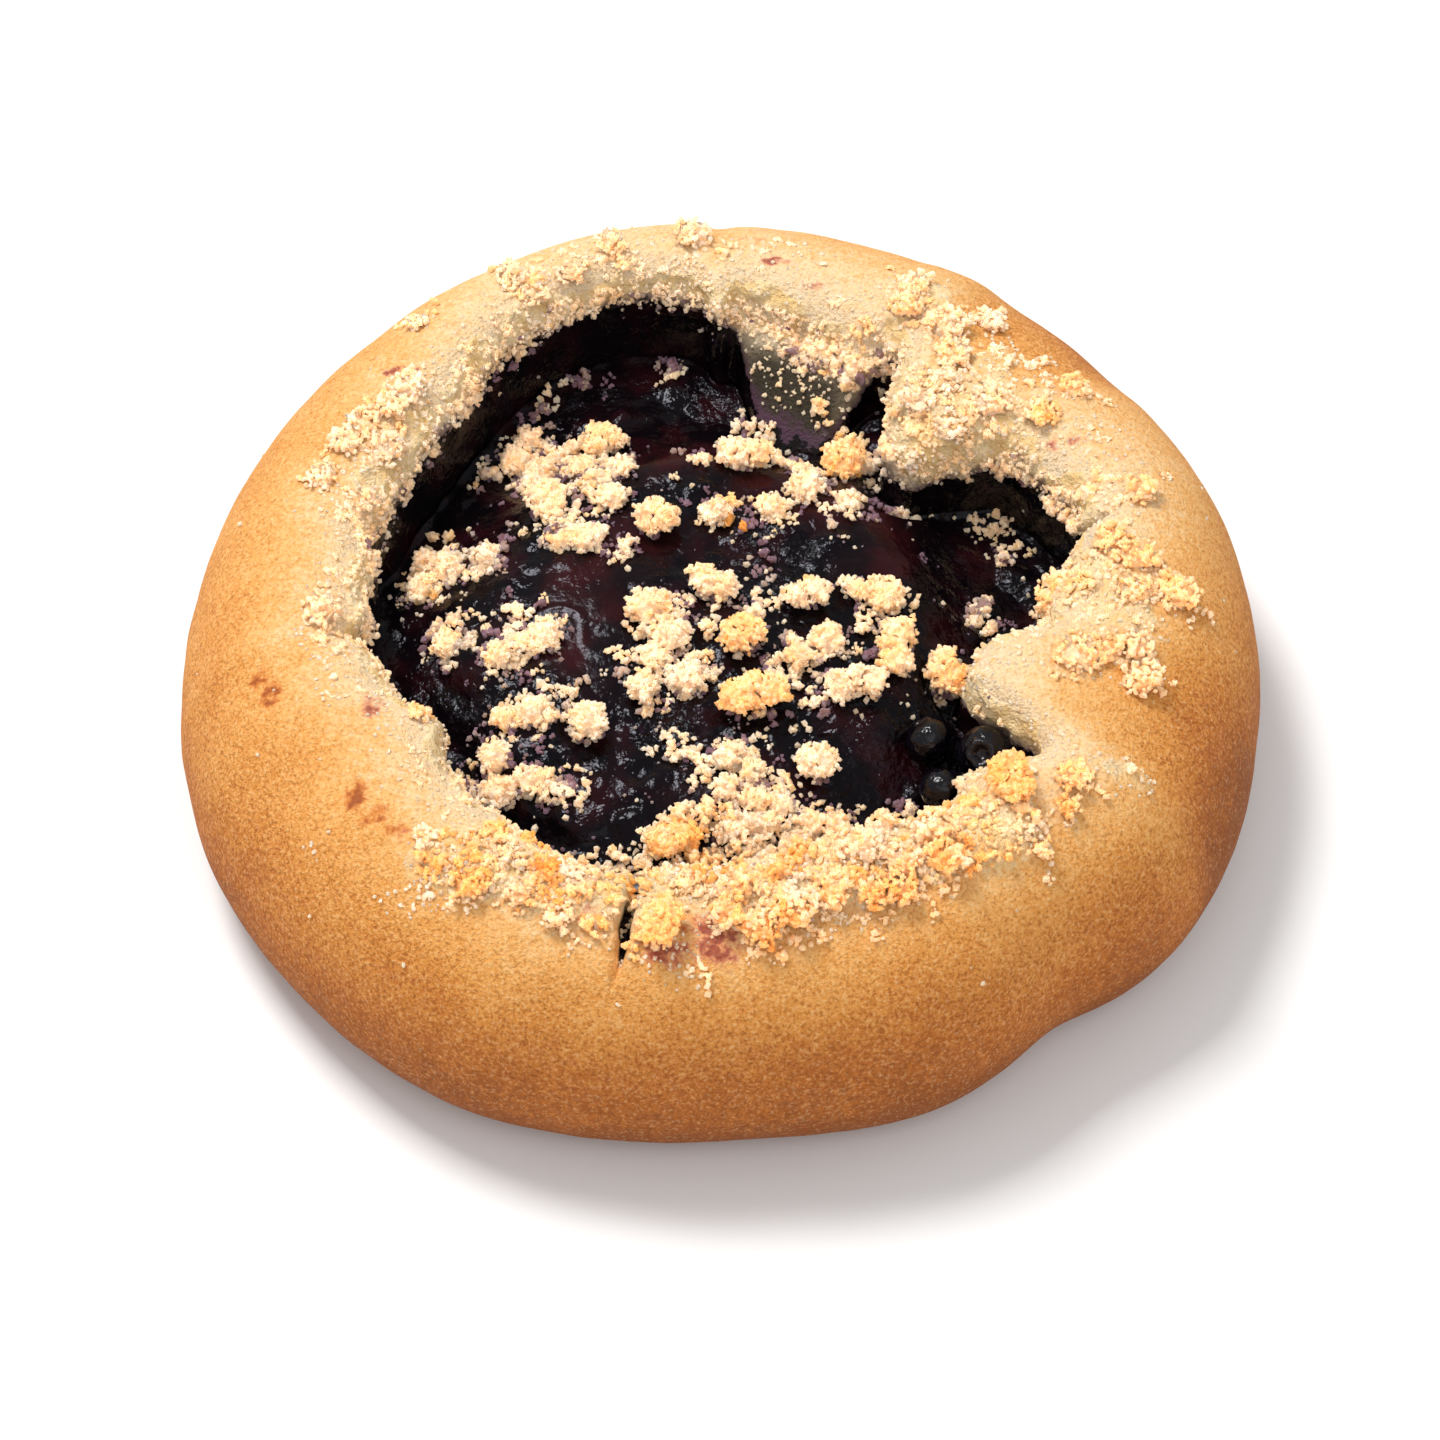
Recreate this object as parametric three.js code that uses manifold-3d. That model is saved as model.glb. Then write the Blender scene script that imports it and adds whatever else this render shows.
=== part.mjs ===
// A round sweet bun, 110 mm across, with an open hollow of dark fruit filling and a loose butter crumble.
// Millimetres, +Z up. The origin is the middle of the flat sole, on the surface that the bun stands on.
// Azimuths are degrees, counter-clockwise from +X. The cracked side of the rim faces -Y.
import * as THREE from "three";
import { mergeVertices } from "three/addons/utils/BufferGeometryUtils.js";
import Module from "manifold-3d";

// ---- Driving sizes ---------------------------------------------------------------------------

const BUN = {
  radius: 54.8, // mean radius at the widest ring
  height: 27, // crest of the rim above the sole
  widestAt: 9.5, // height of the widest ring
  soleInset: 7.5, // from the widest ring in to the edge of the flat sole
  crestShare: 0.28, // place of the crest between the lip and the widest ring
  lipDrop: 4.4, // lip of the hollow below the crest
  floorHeight: 9, // dough under the filling
  footInset: 3.2, // foot of the hollow's wall inside its lip
  wallPower: 0.45, // below 1 the wall is a bowl's, at 1 it slopes evenly
  tonguePower: 1.15, // the same where a tongue of dough runs down the wall
  tongueReach: 12, // a tongue at least this long slopes as evenly as that
};

// The outline isn't quite round: a slow swell of two and of three lobes, and a few local bulges.
const OUTLINE_SWELLS = [
  { fold: 2, size: 0.57, at: 35 },
  { fold: 3, size: 0.54, at: -18 },
];
const OUTLINE_LOBES = [
  { at: 310, half: 7, size: -1.5, sharp: 2 }, // dent at the front right
  { at: 292, half: 9, size: 0.7, sharp: 2 },
  { at: 330, half: 12, size: 0.7, sharp: 2 },
  { at: 50, half: 13, size: 0.9, sharp: 2 },
  { at: 113, half: 18, size: -0.8, sharp: 2 },
  { at: 215, half: 11, size: -0.4, sharp: 2 },
  { at: 243, half: 11, size: 0.5, sharp: 2 },
  { at: 271, half: 9, size: -0.5, sharp: 2 },
];
const CREST_LOBES = [
  { at: 340, half: 14, size: 0.8, sharp: 2 }, // puffed tongue on the right
  { at: 205, half: 30, size: 0.6, sharp: 2 },
  { at: 255, half: 12, size: -0.7, sharp: 2 }, // sunken where the rim is cracked
  { at: 75, half: 12, size: -0.5, sharp: 2 }, // slumped above the tongue at the back
  { at: 110, half: 20, size: -0.5, sharp: 2 },
];

// The lip of the hollow: a mean radius, with bays where the filling ran out and tongues of dough.
const LIP_RADIUS = 35.2;
const LIP_LOBES = [
  { at: 107, half: 25, size: 6.6, sharp: 2 }, // wide bay at the back
  { at: 90, half: 2, size: -2.4, sharp: 2 }, // pointed drip of filling on the bay's edge
  { at: 169, half: 3, size: 1.1, sharp: 2 },
  { at: 190, half: 2.2, size: 2.2, sharp: 2 },
  { at: 211, half: 6, size: -2.8, sharp: 2 },
  { at: 249, half: 8, size: 1.3, sharp: 2 },
  { at: 293, half: 11, size: -2.3, sharp: 2 },
  { at: 318, half: 4, size: -1.7, sharp: 2 },
  { at: 327, half: 4, size: 2.2, sharp: 2 }, // notch that holds the whole berry
  { at: 340, half: 9.5, size: -8.2, sharp: 4 }, // smooth puffed tongue
  { at: 354, half: 6, size: -1.9, sharp: 2 },
  { at: 17, half: 9, size: 2.8, sharp: 2 }, // dark bay at the right
  { at: 45, half: 10, size: -8.5, sharp: 4 }, // bulge under the crumble
  { at: 60, half: 4, size: 1.6, sharp: 4 },
  { at: 77, half: 8, size: 0.6, sharp: 2 },
];

// Where dough slopes down into the filling, the wall's foot reaches further in, by the size.
const WALL_TONGUES = [
  { at: 74.5, half: 12, size: 13, sharp: 5 }, // broad tongue in the shade at the back
  { at: 45, half: 11, size: 3, sharp: 4 },
  { at: 283, half: 20, size: 3, sharp: 4 }, // slope under the heap of crumble
  { at: 340, half: 9, size: 2, sharp: 4 },
];

const RIM_CRACKS = [
  { at: 258, from: 35, to: 49.5, width: 1.7, depth: 5.5 },
  { at: 190, from: 34.5, to: 40, width: 1.3, depth: 3.2 },
  { at: 12.5, from: 35, to: 42.5, width: 1.6, depth: 3.6 },
];

// The filling: a swollen mound in the middle and a lower moat round it.
const FILLING = {
  gap: 0.35, // to the dough all round
  moundTop: 22.6,
  moundX: -2,
  moundY: -2,
  moundRadius: 29.5,
  domeDrop: 1.9, // fall of the mound from its middle to its shoulder
  shoulderFrom: 0.66, // shares of the mound's radius between which it falls away
  shoulderTo: 1.12,
  moat: 16.6,
};
const MOAT_LOBES = [
  { at: 115, half: 50, size: -2.6, sharp: 4 }, // deep at the back left
  { at: 15, half: 22, size: -2.2, sharp: 4 },
  { at: 265, half: 30, size: 1.6, sharp: 4 },
];
const FILLING_SWELLS = [
  { x: 13, y: 12, half: 8, rise: 1.1 },
  { x: -14, y: 2, half: 7, rise: 0.9 },
  { x: -4, y: 22, half: 6, rise: 1.0 },
  { x: -8, y: -18, half: 6, rise: -0.8 },
  { x: 16, y: -10, half: 6, rise: 0.6 },
  { x: -16, y: 17, half: 6, rise: -0.9 },
  { x: 3, y: -9, half: 6, rise: 0.7 },
];

// Berries that show whole, part sunk at the notch: middle, diameter, and the tilt of the crown.
const BERRIES = [
  { x: 26.4, y: -18.1, z: 21.4, size: 5.6, crownAt: 250, crownTilt: 38 },
  { x: 20.9, y: -15.9, z: 20.6, size: 4.6, crownAt: 120, crownTilt: 70 },
  { x: 21.9, y: -21.6, z: 20.2, size: 4.6, crownAt: 30, crownTilt: 80 },
];
const BERRY_SOCKET = 0.3; // clear space between a berry and the filling
// Shares of the berry's radius, and the latitude where its crown begins.
const BERRY_FORM = {
  sides: 12,
  steps: 7,
  flatness: 0.92,
  crownFrom: 62,
  ringOut: 0.4,
  ringUp: 0.98,
  pitOut: 0.28,
  pitUp: 0.7,
};
const SOCKET_SIDES = 14;

// Crumble lumps as large as the berries, largest first: middle, length, breadth, turn of the length.
const LUMPS = [
  { x: 3.7, y: -13.2, long: 6.8, broad: 4.8, turn: 10, on: "filling" },
  { x: 18.0, y: -6.4, long: 6.6, broad: 4.2, turn: 84, on: "filling" },
  { x: 13.8, y: -11.3, long: 6.2, broad: 4.0, turn: 12, on: "filling" },
  { x: 2.6, y: 19.2, long: 5.8, broad: 4.0, turn: 175, on: "filling" },
  { x: 34.6, y: 0.4, long: 5.8, broad: 5.2, turn: 40, on: "bun" },
  { x: 28.4, y: -26.4, long: 5.6, broad: 4.6, turn: 100, on: "bun" },
  { x: -4.1, y: -28.4, long: 5.6, broad: 4.6, turn: 20, on: "filling" },
  { x: -0.6, y: 1.4, long: 5.4, broad: 3.8, turn: 160, on: "filling" },
  { x: -17.2, y: 13.4, long: 5.4, broad: 4.2, turn: 100, on: "filling" },
  { x: 12.9, y: 20.6, long: 5.0, broad: 4.4, turn: 60, on: "filling" },
  { x: -5.3, y: -43.0, long: 5.0, broad: 4.6, turn: 80, on: "bun" },
  { x: 2.4, y: -5.6, long: 4.9, broad: 4.4, turn: 30, on: "filling" },
  { x: 22.8, y: -7.4, long: 4.8, broad: 4.0, turn: 110, on: "filling" },
  { x: -6.3, y: 9.6, long: 4.7, broad: 4.4, turn: 0, on: "filling" },
  { x: 9.0, y: 0.2, long: 4.7, broad: 3.6, turn: 5, on: "filling" },
  { x: -11.8, y: 25.6, long: 4.6, broad: 4.2, turn: 40, on: "filling" },
  { x: -12.8, y: -15.4, long: 4.6, broad: 4.4, turn: 90, on: "filling" },
  { x: 9.8, y: -20.2, long: 4.6, broad: 4.0, turn: 0, on: "filling" },
];
const LUMP_GAP = 0.35; // between a lump and what it lies on
// A lump's grains, as shares of its breadth and of the reach of its ends.
const LUMP_FORM = {
  seat: 0.32, // height of its middle above what it lies on
  grain: 0.8, // part of the length that the end grains take
  grains: [
    { along: -1, across: 0, up: 0, size: 0.84 },
    { along: 1, across: 0, up: 0.04, size: 0.82 },
    { along: 0.1, across: 0.16, up: 0.04, size: 0.72 },
  ],
};

// Smaller clumps, fused to what they lie on. On the rim a zone is a stretch in azimuth and radius,
// and the clumps outside the front heap are baked low on to the dough.
const LOW = 0.42;
const RIM_ZONES = [
  { at: 281, halfAt: 22, radius: 38.5, halfRadius: 5.0, count: 15, size: 4.4, flatness: 0.8 }, // the front heap
  { at: 241, halfAt: 12, radius: 41, halfRadius: 4.0, count: 7, size: 3.9, flatness: 0.6 },
  { at: 164, halfAt: 24, radius: 39, halfRadius: 4.0, count: 8, size: 4.0, flatness: LOW },
  { at: 105, halfAt: 28, radius: 44, halfRadius: 2.0, count: 6, size: 3.4, flatness: LOW },
  { at: 48, halfAt: 16, radius: 37, halfRadius: 8.0, count: 11, size: 4.0, flatness: 0.5 },
  { at: 0, halfAt: 18, radius: 41, halfRadius: 5.0, count: 9, size: 4.2, flatness: LOW },
  { at: 318, halfAt: 7, radius: 41, halfRadius: 4.0, count: 3, size: 3.6, flatness: LOW },
];
// On the filling a patch is an oblong with its middle at x, y.
const FILLING_PATCHES = [
  { x: 2, y: -28, halfX: 10, halfY: 3.5, count: 7, size: 4.2 }, // the heap's inner edge
  { x: -1, y: -6, halfX: 6.5, halfY: 5, count: 8, size: 4.2 }, // the dense middle
  { x: 5, y: -20, halfX: 4.5, halfY: 4.5, count: 5, size: 3.7 },
  { x: 12, y: -4, halfX: 6, halfY: 6, count: 4, size: 3.6 },
  { x: 4, y: 12, halfX: 5, halfY: 5, count: 3, size: 3.2 },
  { x: -17, y: 23, halfX: 5.5, halfY: 4.5, count: 6, size: 3.6 },
  { x: -13, y: 13, halfX: 4, halfY: 6, count: 5, size: 3.4 },
  { x: -27, y: 7, halfX: 4.5, halfY: 4, count: 4, size: 3.4 },
  { x: -22, y: -3, halfX: 6, halfY: 4, count: 4, size: 3.2 },
  { x: -18, y: -18, halfX: 5.5, halfY: 4.5, count: 5, size: 3.5 },
];
const CRUMB_SINK = 0.22; // share of a clump's height that lies below the surface
const CRUMB_CLEAR = 0.6; // between a fused clump and a separate lump or berry
const RANDOM_SEED = 20817;

// A clump is an icosahedron whose corners lie at these shares of its size from its middle.
const GRAIN = { least: 0.46, spread: 0.14, flatness: 0.8, tilt: 0.5 };
const GRAIN_CORNERS = 12;
const GRAIN_REACH = 0.62; // furthest that a clump reaches from its middle, as a share of its size
const FUSED_OVERLAP = 0.36; // how near two fused clumps may stand, as a share of their sizes together
const LUMP_REACH = 0.58; // the same for a fused clump and a separate lump or berry
const SIZE_SPREAD = { least: 0.75, most: 1.2 }; // of a zone's clumps, round the zone's size
const TRIES_PER_CLUMP = 60;

// Azimuth steps round the bun: fine where the outline has detail, fewer on the flank and the middle.
const STEPS = { fine: 120, plain: 60, inner: 30, middle: 10 };
// Where the rings of points lie, as shares of each stretch of the section.
const SHARES = {
  soleEdge: [0, 0.33, 0.66],
  flank: [1, 0.84, 0.68, 0.52, 0.35, 0.18],
  roll: [0, 0.35, 0.65, 1],
  wall: [0.75, 0.5, 0.25],
  fillingWall: [0, 0.35, 0.7, 1],
  fillingShoulder: [0.84, 0.72],
  fillingTop: [0.57, 0.42, 0.27],
};
const FILLING_RIM = { last: 0.93, blendFrom: 0.85 }; // where the top surface settles to the moat's height

// ---- Small helpers ---------------------------------------------------------------------------

const wasm = await Module();
wasm.setup();

// A repeatable random number from 0 to 1.
function randomFrom(seed) {
  let state = seed >>> 0;
  return () => {
    state = (state + 0x6d2b79f5) >>> 0;
    let mixed = Math.imul(state ^ (state >>> 15), state | 1);
    mixed ^= mixed + Math.imul(mixed ^ (mixed >>> 7), mixed | 61);
    return ((mixed ^ (mixed >>> 14)) >>> 0) / 2 ** 32;
  };
}

const { lerp, smoothstep, degToRad, radToDeg } = THREE.MathUtils;

function azimuthGap(a, b) {
  return Math.abs(((((a - b + 180) % 360) + 360) % 360) - 180);
}

// The sum of a list of lobes at an azimuth. A sharp lobe has a flat top and steep flanks.
function lobesAt(lobes, azimuth) {
  return lobes.reduce((sum, lobe) => {
    const share = azimuthGap(azimuth, lobe.at) / lobe.half;
    return sum + lobe.size * Math.exp(-(share ** lobe.sharp));
  }, 0);
}

function polar(azimuth, radius, z) {
  const angle = degToRad(azimuth);
  return new THREE.Vector3(radius * Math.cos(angle), radius * Math.sin(angle), z);
}

// A ring of points round +Z: place(azimuth) gives the radius and the height.
function ring(steps, place) {
  return Array.from({ length: steps }, (_, i) => {
    const azimuth = (360 * i) / steps;
    const { radius, z } = place(azimuth);
    return polar(azimuth, radius, z);
  });
}

// A closed surface through rings, from an axis point at bottomZ to one at topZ, facing out.
// Neighbouring rings may have different numbers of points.
function skinOf(bottomZ, rings, topZ) {
  const points = [new THREE.Vector3(0, 0, bottomZ)];
  const starts = rings.map((ringPoints) => {
    const start = points.length;
    points.push(...ringPoints);
    return start;
  });
  const top = points.length;
  points.push(new THREE.Vector3(0, 0, topZ));
  const index = [];
  const fan = (tip, start, count, flip) => {
    for (let i = 0; i < count; i++) {
      const pair = [start + i, start + ((i + 1) % count)];
      index.push(tip, ...(flip ? pair.reverse() : pair));
    }
  };
  fan(0, starts[0], rings[0].length, true);
  for (let k = 0; k + 1 < rings.length; k++) {
    const [na, nb] = [rings[k].length, rings[k + 1].length];
    let [a, b] = [0, 0];
    while (a < na || b < nb) {
      const alongFirst = b === nb || (a < na && (a + 1) / na <= (b + 1) / nb);
      const here = starts[k] + (a % na);
      const there = starts[k + 1] + (b % nb);
      if (alongFirst) index.push(here, starts[k] + ((a + 1) % na), there);
      else index.push(here, starts[k + 1] + ((b + 1) % nb), there);
      if (alongFirst) a++;
      else b++;
    }
  }
  fan(top, starts.at(-1), rings.at(-1).length, false);
  const geometry = new THREE.BufferGeometry().setFromPoints(points);
  geometry.setIndex(index);
  return geometry;
}

function solidOf(geometry) {
  const bare = geometry.clone();
  bare.deleteAttribute("normal");
  bare.deleteAttribute("uv");
  const merged = mergeVertices(bare, 1e-4);
  return new wasm.Manifold(
    new wasm.Mesh({
      numProp: 3,
      vertProperties: new Float32Array(merged.attributes.position.array),
      triVerts: new Uint32Array(merged.index.array),
    }),
  );
}

// The largest body of a solid, without the scraps that a cut can leave.
function largestBody(solid) {
  return solid.decompose().reduce((best, body) => (body.volume() > best.volume() ? body : best));
}

function geometryOf(solid) {
  const mesh = solid.getMesh();
  const geometry = new THREE.BufferGeometry();
  geometry.setAttribute("position", new THREE.BufferAttribute(new Float32Array(mesh.vertProperties), 3));
  geometry.setIndex(new THREE.BufferAttribute(new Uint32Array(mesh.triVerts), 1));
  geometry.computeVertexNormals();
  return geometry;
}

// ---- The dough -------------------------------------------------------------------------------

function widestRadius(azimuth) {
  const swell = OUTLINE_SWELLS.reduce(
    (sum, wave) => sum + wave.size * Math.cos(wave.fold * degToRad(azimuth - wave.at)),
    0,
  );
  return BUN.radius + swell + lobesAt(OUTLINE_LOBES, azimuth);
}

const crestHeight = (azimuth) => BUN.height + lobesAt(CREST_LOBES, azimuth);
const lipRadius = (azimuth) => LIP_RADIUS + lobesAt(LIP_LOBES, azimuth);
const lipHeight = (azimuth) => crestHeight(azimuth) - BUN.lipDrop;
const crestRadius = (azimuth) => lerp(lipRadius(azimuth), widestRadius(azimuth), BUN.crestShare);
const footRadius = (azimuth) => lipRadius(azimuth) - BUN.footInset - lobesAt(WALL_TONGUES, azimuth);

// The wall slopes more evenly where a tongue of dough comes down it.
function wallPower(azimuth) {
  const tongue = Math.min(1, lobesAt(WALL_TONGUES, azimuth) / BUN.tongueReach);
  return lerp(BUN.wallPower, BUN.tonguePower, tongue);
}

// Radius of the hollow's wall at a height between its floor and its lip.
function wallRadius(azimuth, z) {
  const rise = (z - BUN.floorHeight) / (lipHeight(azimuth) - BUN.floorHeight);
  const share = Math.max(0, Math.min(1, rise)) ** wallPower(azimuth);
  return lerp(footRadius(azimuth), lipRadius(azimuth), share);
}

// Height of the dough's upper surface outside the filling.
function doughHeight(azimuth, radius) {
  const lip = lipRadius(azimuth);
  const crest = crestRadius(azimuth);
  const top = crestHeight(azimuth);
  if (radius >= crest) {
    const share = Math.min(1, (radius - crest) / (widestRadius(azimuth) - crest));
    return BUN.widestAt + (top - BUN.widestAt) * Math.sqrt(1 - share ** 2);
  }
  if (radius >= lip) {
    const share = (crest - radius) / (crest - lip);
    return lipHeight(azimuth) + BUN.lipDrop * Math.sqrt(1 - share ** 2);
  }
  const foot = footRadius(azimuth);
  const share = Math.max(0, (radius - foot) / (lip - foot)) ** (1 / wallPower(azimuth));
  return lerp(BUN.floorHeight, lipHeight(azimuth), share);
}

function bunSkin() {
  const rings = [];
  const arc = (share) => ({ across: Math.sin(share * Math.PI * 0.5), up: Math.cos(share * Math.PI * 0.5) });
  // The rounded edge under the widest ring.
  for (const share of SHARES.soleEdge) {
    rings.push(
      ring(STEPS.plain, (azimuth) => ({
        radius: widestRadius(azimuth) - BUN.soleInset * (1 - arc(share).across),
        z: BUN.widestAt * (1 - arc(share).up),
      })),
    );
  }
  // The flank, from the widest ring up to the crest.
  for (const share of SHARES.flank) {
    rings.push(
      ring(STEPS.plain, (azimuth) => ({
        radius: lerp(crestRadius(azimuth), widestRadius(azimuth), arc(share).across),
        z: lerp(BUN.widestAt, crestHeight(azimuth), arc(share).up),
      })),
    );
  }
  // The roll, from the crest in and down to the lip.
  for (const share of SHARES.roll) {
    rings.push(
      ring(STEPS.fine, (azimuth) => ({
        radius: lerp(crestRadius(azimuth), lipRadius(azimuth), arc(share).across),
        z: lipHeight(azimuth) + BUN.lipDrop * arc(share).up,
      })),
    );
  }
  // The wall of the hollow, down to its floor.
  for (const share of SHARES.wall) {
    rings.push(
      ring(STEPS.fine, (azimuth) => {
        const z = lerp(BUN.floorHeight, lipHeight(azimuth), share);
        return { radius: wallRadius(azimuth, z), z };
      }),
    );
  }
  rings.push(ring(STEPS.fine, (azimuth) => ({ radius: footRadius(azimuth), z: BUN.floorHeight })));
  return skinOf(0, rings, BUN.floorHeight);
}

// A crack is a long narrow lozenge cut into the rim.
function crackSolid({ at, from, to, width, depth }) {
  const lozenge = new THREE.OctahedronGeometry(1, 0);
  lozenge.scale((to - from) / 2, width / 2, depth);
  lozenge.rotateZ(degToRad(at));
  const middle = polar(at, (from + to) / 2, doughHeight(at, (from + to) / 2));
  lozenge.translate(middle.x, middle.y, middle.z);
  return solidOf(lozenge);
}

// ---- The filling -----------------------------------------------------------------------------

const moatHeight = (azimuth) => FILLING.moat + lobesAt(MOAT_LOBES, azimuth);

// Height of the filling's upper surface.
function fillingHeight(x, y) {
  const azimuth = radToDeg(Math.atan2(y, x));
  const share = Math.hypot(x - FILLING.moundX, y - FILLING.moundY) / FILLING.moundRadius;
  const fall = smoothstep(share, FILLING.shoulderFrom, FILLING.shoulderTo);
  const dome = FILLING.moundTop - FILLING.domeDrop * Math.min(1, share) ** 2;
  const swells = FILLING_SWELLS.reduce((sum, swell) => {
    const distance = Math.hypot(x - swell.x, y - swell.y) / swell.half;
    return sum + swell.rise * Math.exp(-(distance ** 2));
  }, 0);
  return lerp(dome, moatHeight(azimuth), fall) + swells * (1 - fall);
}

// The filling keeps clear of the wall both sideways and downwards.
function fillingRadius(azimuth, z) {
  return wallRadius(azimuth, z - FILLING.gap) - FILLING.gap;
}

const edgeRadius = (azimuth) => fillingRadius(azimuth, moatHeight(azimuth));

function fillingSkin() {
  const bottom = BUN.floorHeight + FILLING.gap;
  const rings = [];
  for (const share of SHARES.fillingWall) {
    rings.push(
      ring(STEPS.fine, (azimuth) => {
        const z = lerp(bottom, moatHeight(azimuth), share);
        return { radius: fillingRadius(azimuth, z), z };
      }),
    );
  }
  const topRing = (steps, share) =>
    ring(steps, (azimuth) => {
      const edge = edgeRadius(azimuth);
      const place = polar(azimuth, edge * share, 0);
      const own = fillingHeight(place.x, place.y);
      const settled = smoothstep(share, FILLING_RIM.blendFrom, 1);
      return { radius: edge * share, z: lerp(own, moatHeight(azimuth), settled) };
    });
  rings.push(topRing(STEPS.fine, FILLING_RIM.last));
  for (const share of SHARES.fillingShoulder) rings.push(topRing(STEPS.plain, share));
  for (const share of SHARES.fillingTop) rings.push(topRing(STEPS.inner, share));
  rings.push(topRing(STEPS.middle, SHARES.fillingTop.at(-1) / 2));
  return skinOf(bottom, rings, fillingHeight(0, 0));
}

// ---- Berries and crumble -----------------------------------------------------------------------

// A berry is a slightly flat ball with a raised crown ring round a small pit, on its own +Z.
function berryGeometry({ x, y, z, size, crownAt, crownTilt }) {
  const radius = size / 2;
  const { flatness, crownFrom, ringOut, ringUp, pitOut, pitUp } = BERRY_FORM;
  const profile = [new THREE.Vector2(0, -flatness * radius)];
  for (let i = 1; i <= BERRY_FORM.steps; i++) {
    const angle = degToRad(lerp(-90, crownFrom, i / BERRY_FORM.steps));
    profile.push(new THREE.Vector2(radius * Math.cos(angle), flatness * radius * Math.sin(angle)));
  }
  profile.push(new THREE.Vector2(ringOut * radius, ringUp * radius));
  profile.push(new THREE.Vector2(pitOut * radius, pitUp * radius));
  profile.push(new THREE.Vector2(0, pitUp * radius));
  const berry = new THREE.LatheGeometry(profile, BERRY_FORM.sides);
  berry.rotateX(Math.PI / 2); // the lathe's axis is +Y
  berry.rotateY(degToRad(crownTilt));
  berry.rotateZ(degToRad(crownAt));
  berry.translate(x, y, z);
  return berry;
}

// The plain ball that a berry presses into the filling.
function socketSolid({ x, y, z, size }) {
  const ball = new THREE.SphereGeometry(size / 2 + BERRY_SOCKET, SOCKET_SIDES, SOCKET_SIDES / 2 + 2);
  ball.rotateX(Math.PI / 2);
  ball.translate(x, y, z);
  return solidOf(ball);
}

// One rough grain: a flattened icosahedron with uneven corners, turned at random.
function grainSolid(place, size, flatness, random) {
  const grain = mergeVertices(bareIcosahedron(), 1e-4);
  const position = grain.attributes.position;
  const corner = new THREE.Vector3();
  for (let i = 0; i < GRAIN_CORNERS; i++) {
    corner.fromBufferAttribute(position, i).multiplyScalar(size * (GRAIN.least + GRAIN.spread * random()));
    position.setXYZ(i, corner.x, corner.y, corner.z * flatness);
  }
  grain.rotateX(GRAIN.tilt * (random() - 0.5));
  grain.rotateZ(random() * Math.PI * 2);
  grain.translate(place.x, place.y, place.z);
  return solidOf(grain);
}

function bareIcosahedron() {
  const geometry = new THREE.IcosahedronGeometry(1, 0);
  geometry.deleteAttribute("normal");
  geometry.deleteAttribute("uv");
  return geometry;
}

function surfaceHeight(on, x, y) {
  if (on === "filling") return fillingHeight(x, y);
  return doughHeight(radToDeg(Math.atan2(y, x)), Math.hypot(x, y));
}

// A lump is a few grains pressed together along its length, seated on the surface below it.
function lumpSolid(lump, ground) {
  const random = randomFrom(RANDOM_SEED + Math.round(lump.x * 100 - lump.y * 10));
  const { broad } = lump;
  const height = surfaceHeight(lump.on, lump.x, lump.y) + LUMP_GAP + LUMP_FORM.seat * broad;
  const reach = (lump.long - LUMP_FORM.grain * broad) / 2;
  const grains = LUMP_FORM.grains.map(({ along, across, up, size }) => {
    const place = new THREE.Vector3(along * reach, across * broad, up * broad);
    place.applyAxisAngle(new THREE.Vector3(0, 0, 1), degToRad(lump.turn));
    place.add(new THREE.Vector3(lump.x, lump.y, height));
    return grainSolid(place, size * broad, GRAIN.flatness, random);
  });
  const joined = grains.reduce((all, grain) => all.add(grain));
  return largestBody(joined.subtract(ground));
}

// A random spot of a rim zone or a filling patch.
function drawSpot(zone, random) {
  const [u, v] = [2 * random() - 1, 2 * random() - 1];
  if ("at" in zone) return polar(zone.at + zone.halfAt * u, zone.radius + zone.halfRadius * v, 0);
  return new THREE.Vector3(zone.x + zone.halfX * u, zone.y + zone.halfY * v, 0);
}

// Whether a clump lies wholly on the filling, or wholly on the dough round it.
function fits(on, spot, size) {
  const radius = Math.hypot(spot.x, spot.y);
  const edge = edgeRadius(radToDeg(Math.atan2(spot.y, spot.x)));
  if (on === "filling") return radius + size * GRAIN_REACH < edge - FILLING.gap;
  return radius - size * GRAIN_REACH > edge + 2 * FILLING.gap;
}

// Places for the fused clumps of a zone, clear of the separate lumps and berries.
function clumpPlaces(on, zone, taken, random) {
  const places = [];
  const flatness = zone.flatness ?? GRAIN.flatness;
  for (let tries = 0; places.length < zone.count && tries < zone.count * TRIES_PER_CLUMP; tries++) {
    const spot = drawSpot(zone, random);
    const size = zone.size * lerp(SIZE_SPREAD.least, SIZE_SPREAD.most, random());
    const clear = taken.every((other) => {
      const together = size + other.size;
      const least = other.fused ? FUSED_OVERLAP * together : LUMP_REACH * together + CRUMB_CLEAR;
      return Math.hypot(spot.x - other.x, spot.y - other.y) > least;
    });
    if (!clear || !fits(on, spot, size)) continue;
    spot.z = surfaceHeight(on, spot.x, spot.y) + size * flatness * (0.5 - CRUMB_SINK);
    places.push({ spot, size, flatness });
    taken.push({ x: spot.x, y: spot.y, size, fused: true });
  }
  return places;
}

function clumpSolids(on, zones) {
  const random = randomFrom(RANDOM_SEED + on.length);
  const taken = [
    ...LUMPS.map((lump) => ({ x: lump.x, y: lump.y, size: lump.long, fused: false })),
    ...BERRIES.map((berry) => ({ x: berry.x, y: berry.y, size: berry.size, fused: false })),
  ];
  return zones.flatMap((zone) =>
    clumpPlaces(on, zone, taken, random).map((clump) =>
      grainSolid(clump.spot, clump.size, clump.flatness, random),
    ),
  );
}

// ---- The solids --------------------------------------------------------------------------------

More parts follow.
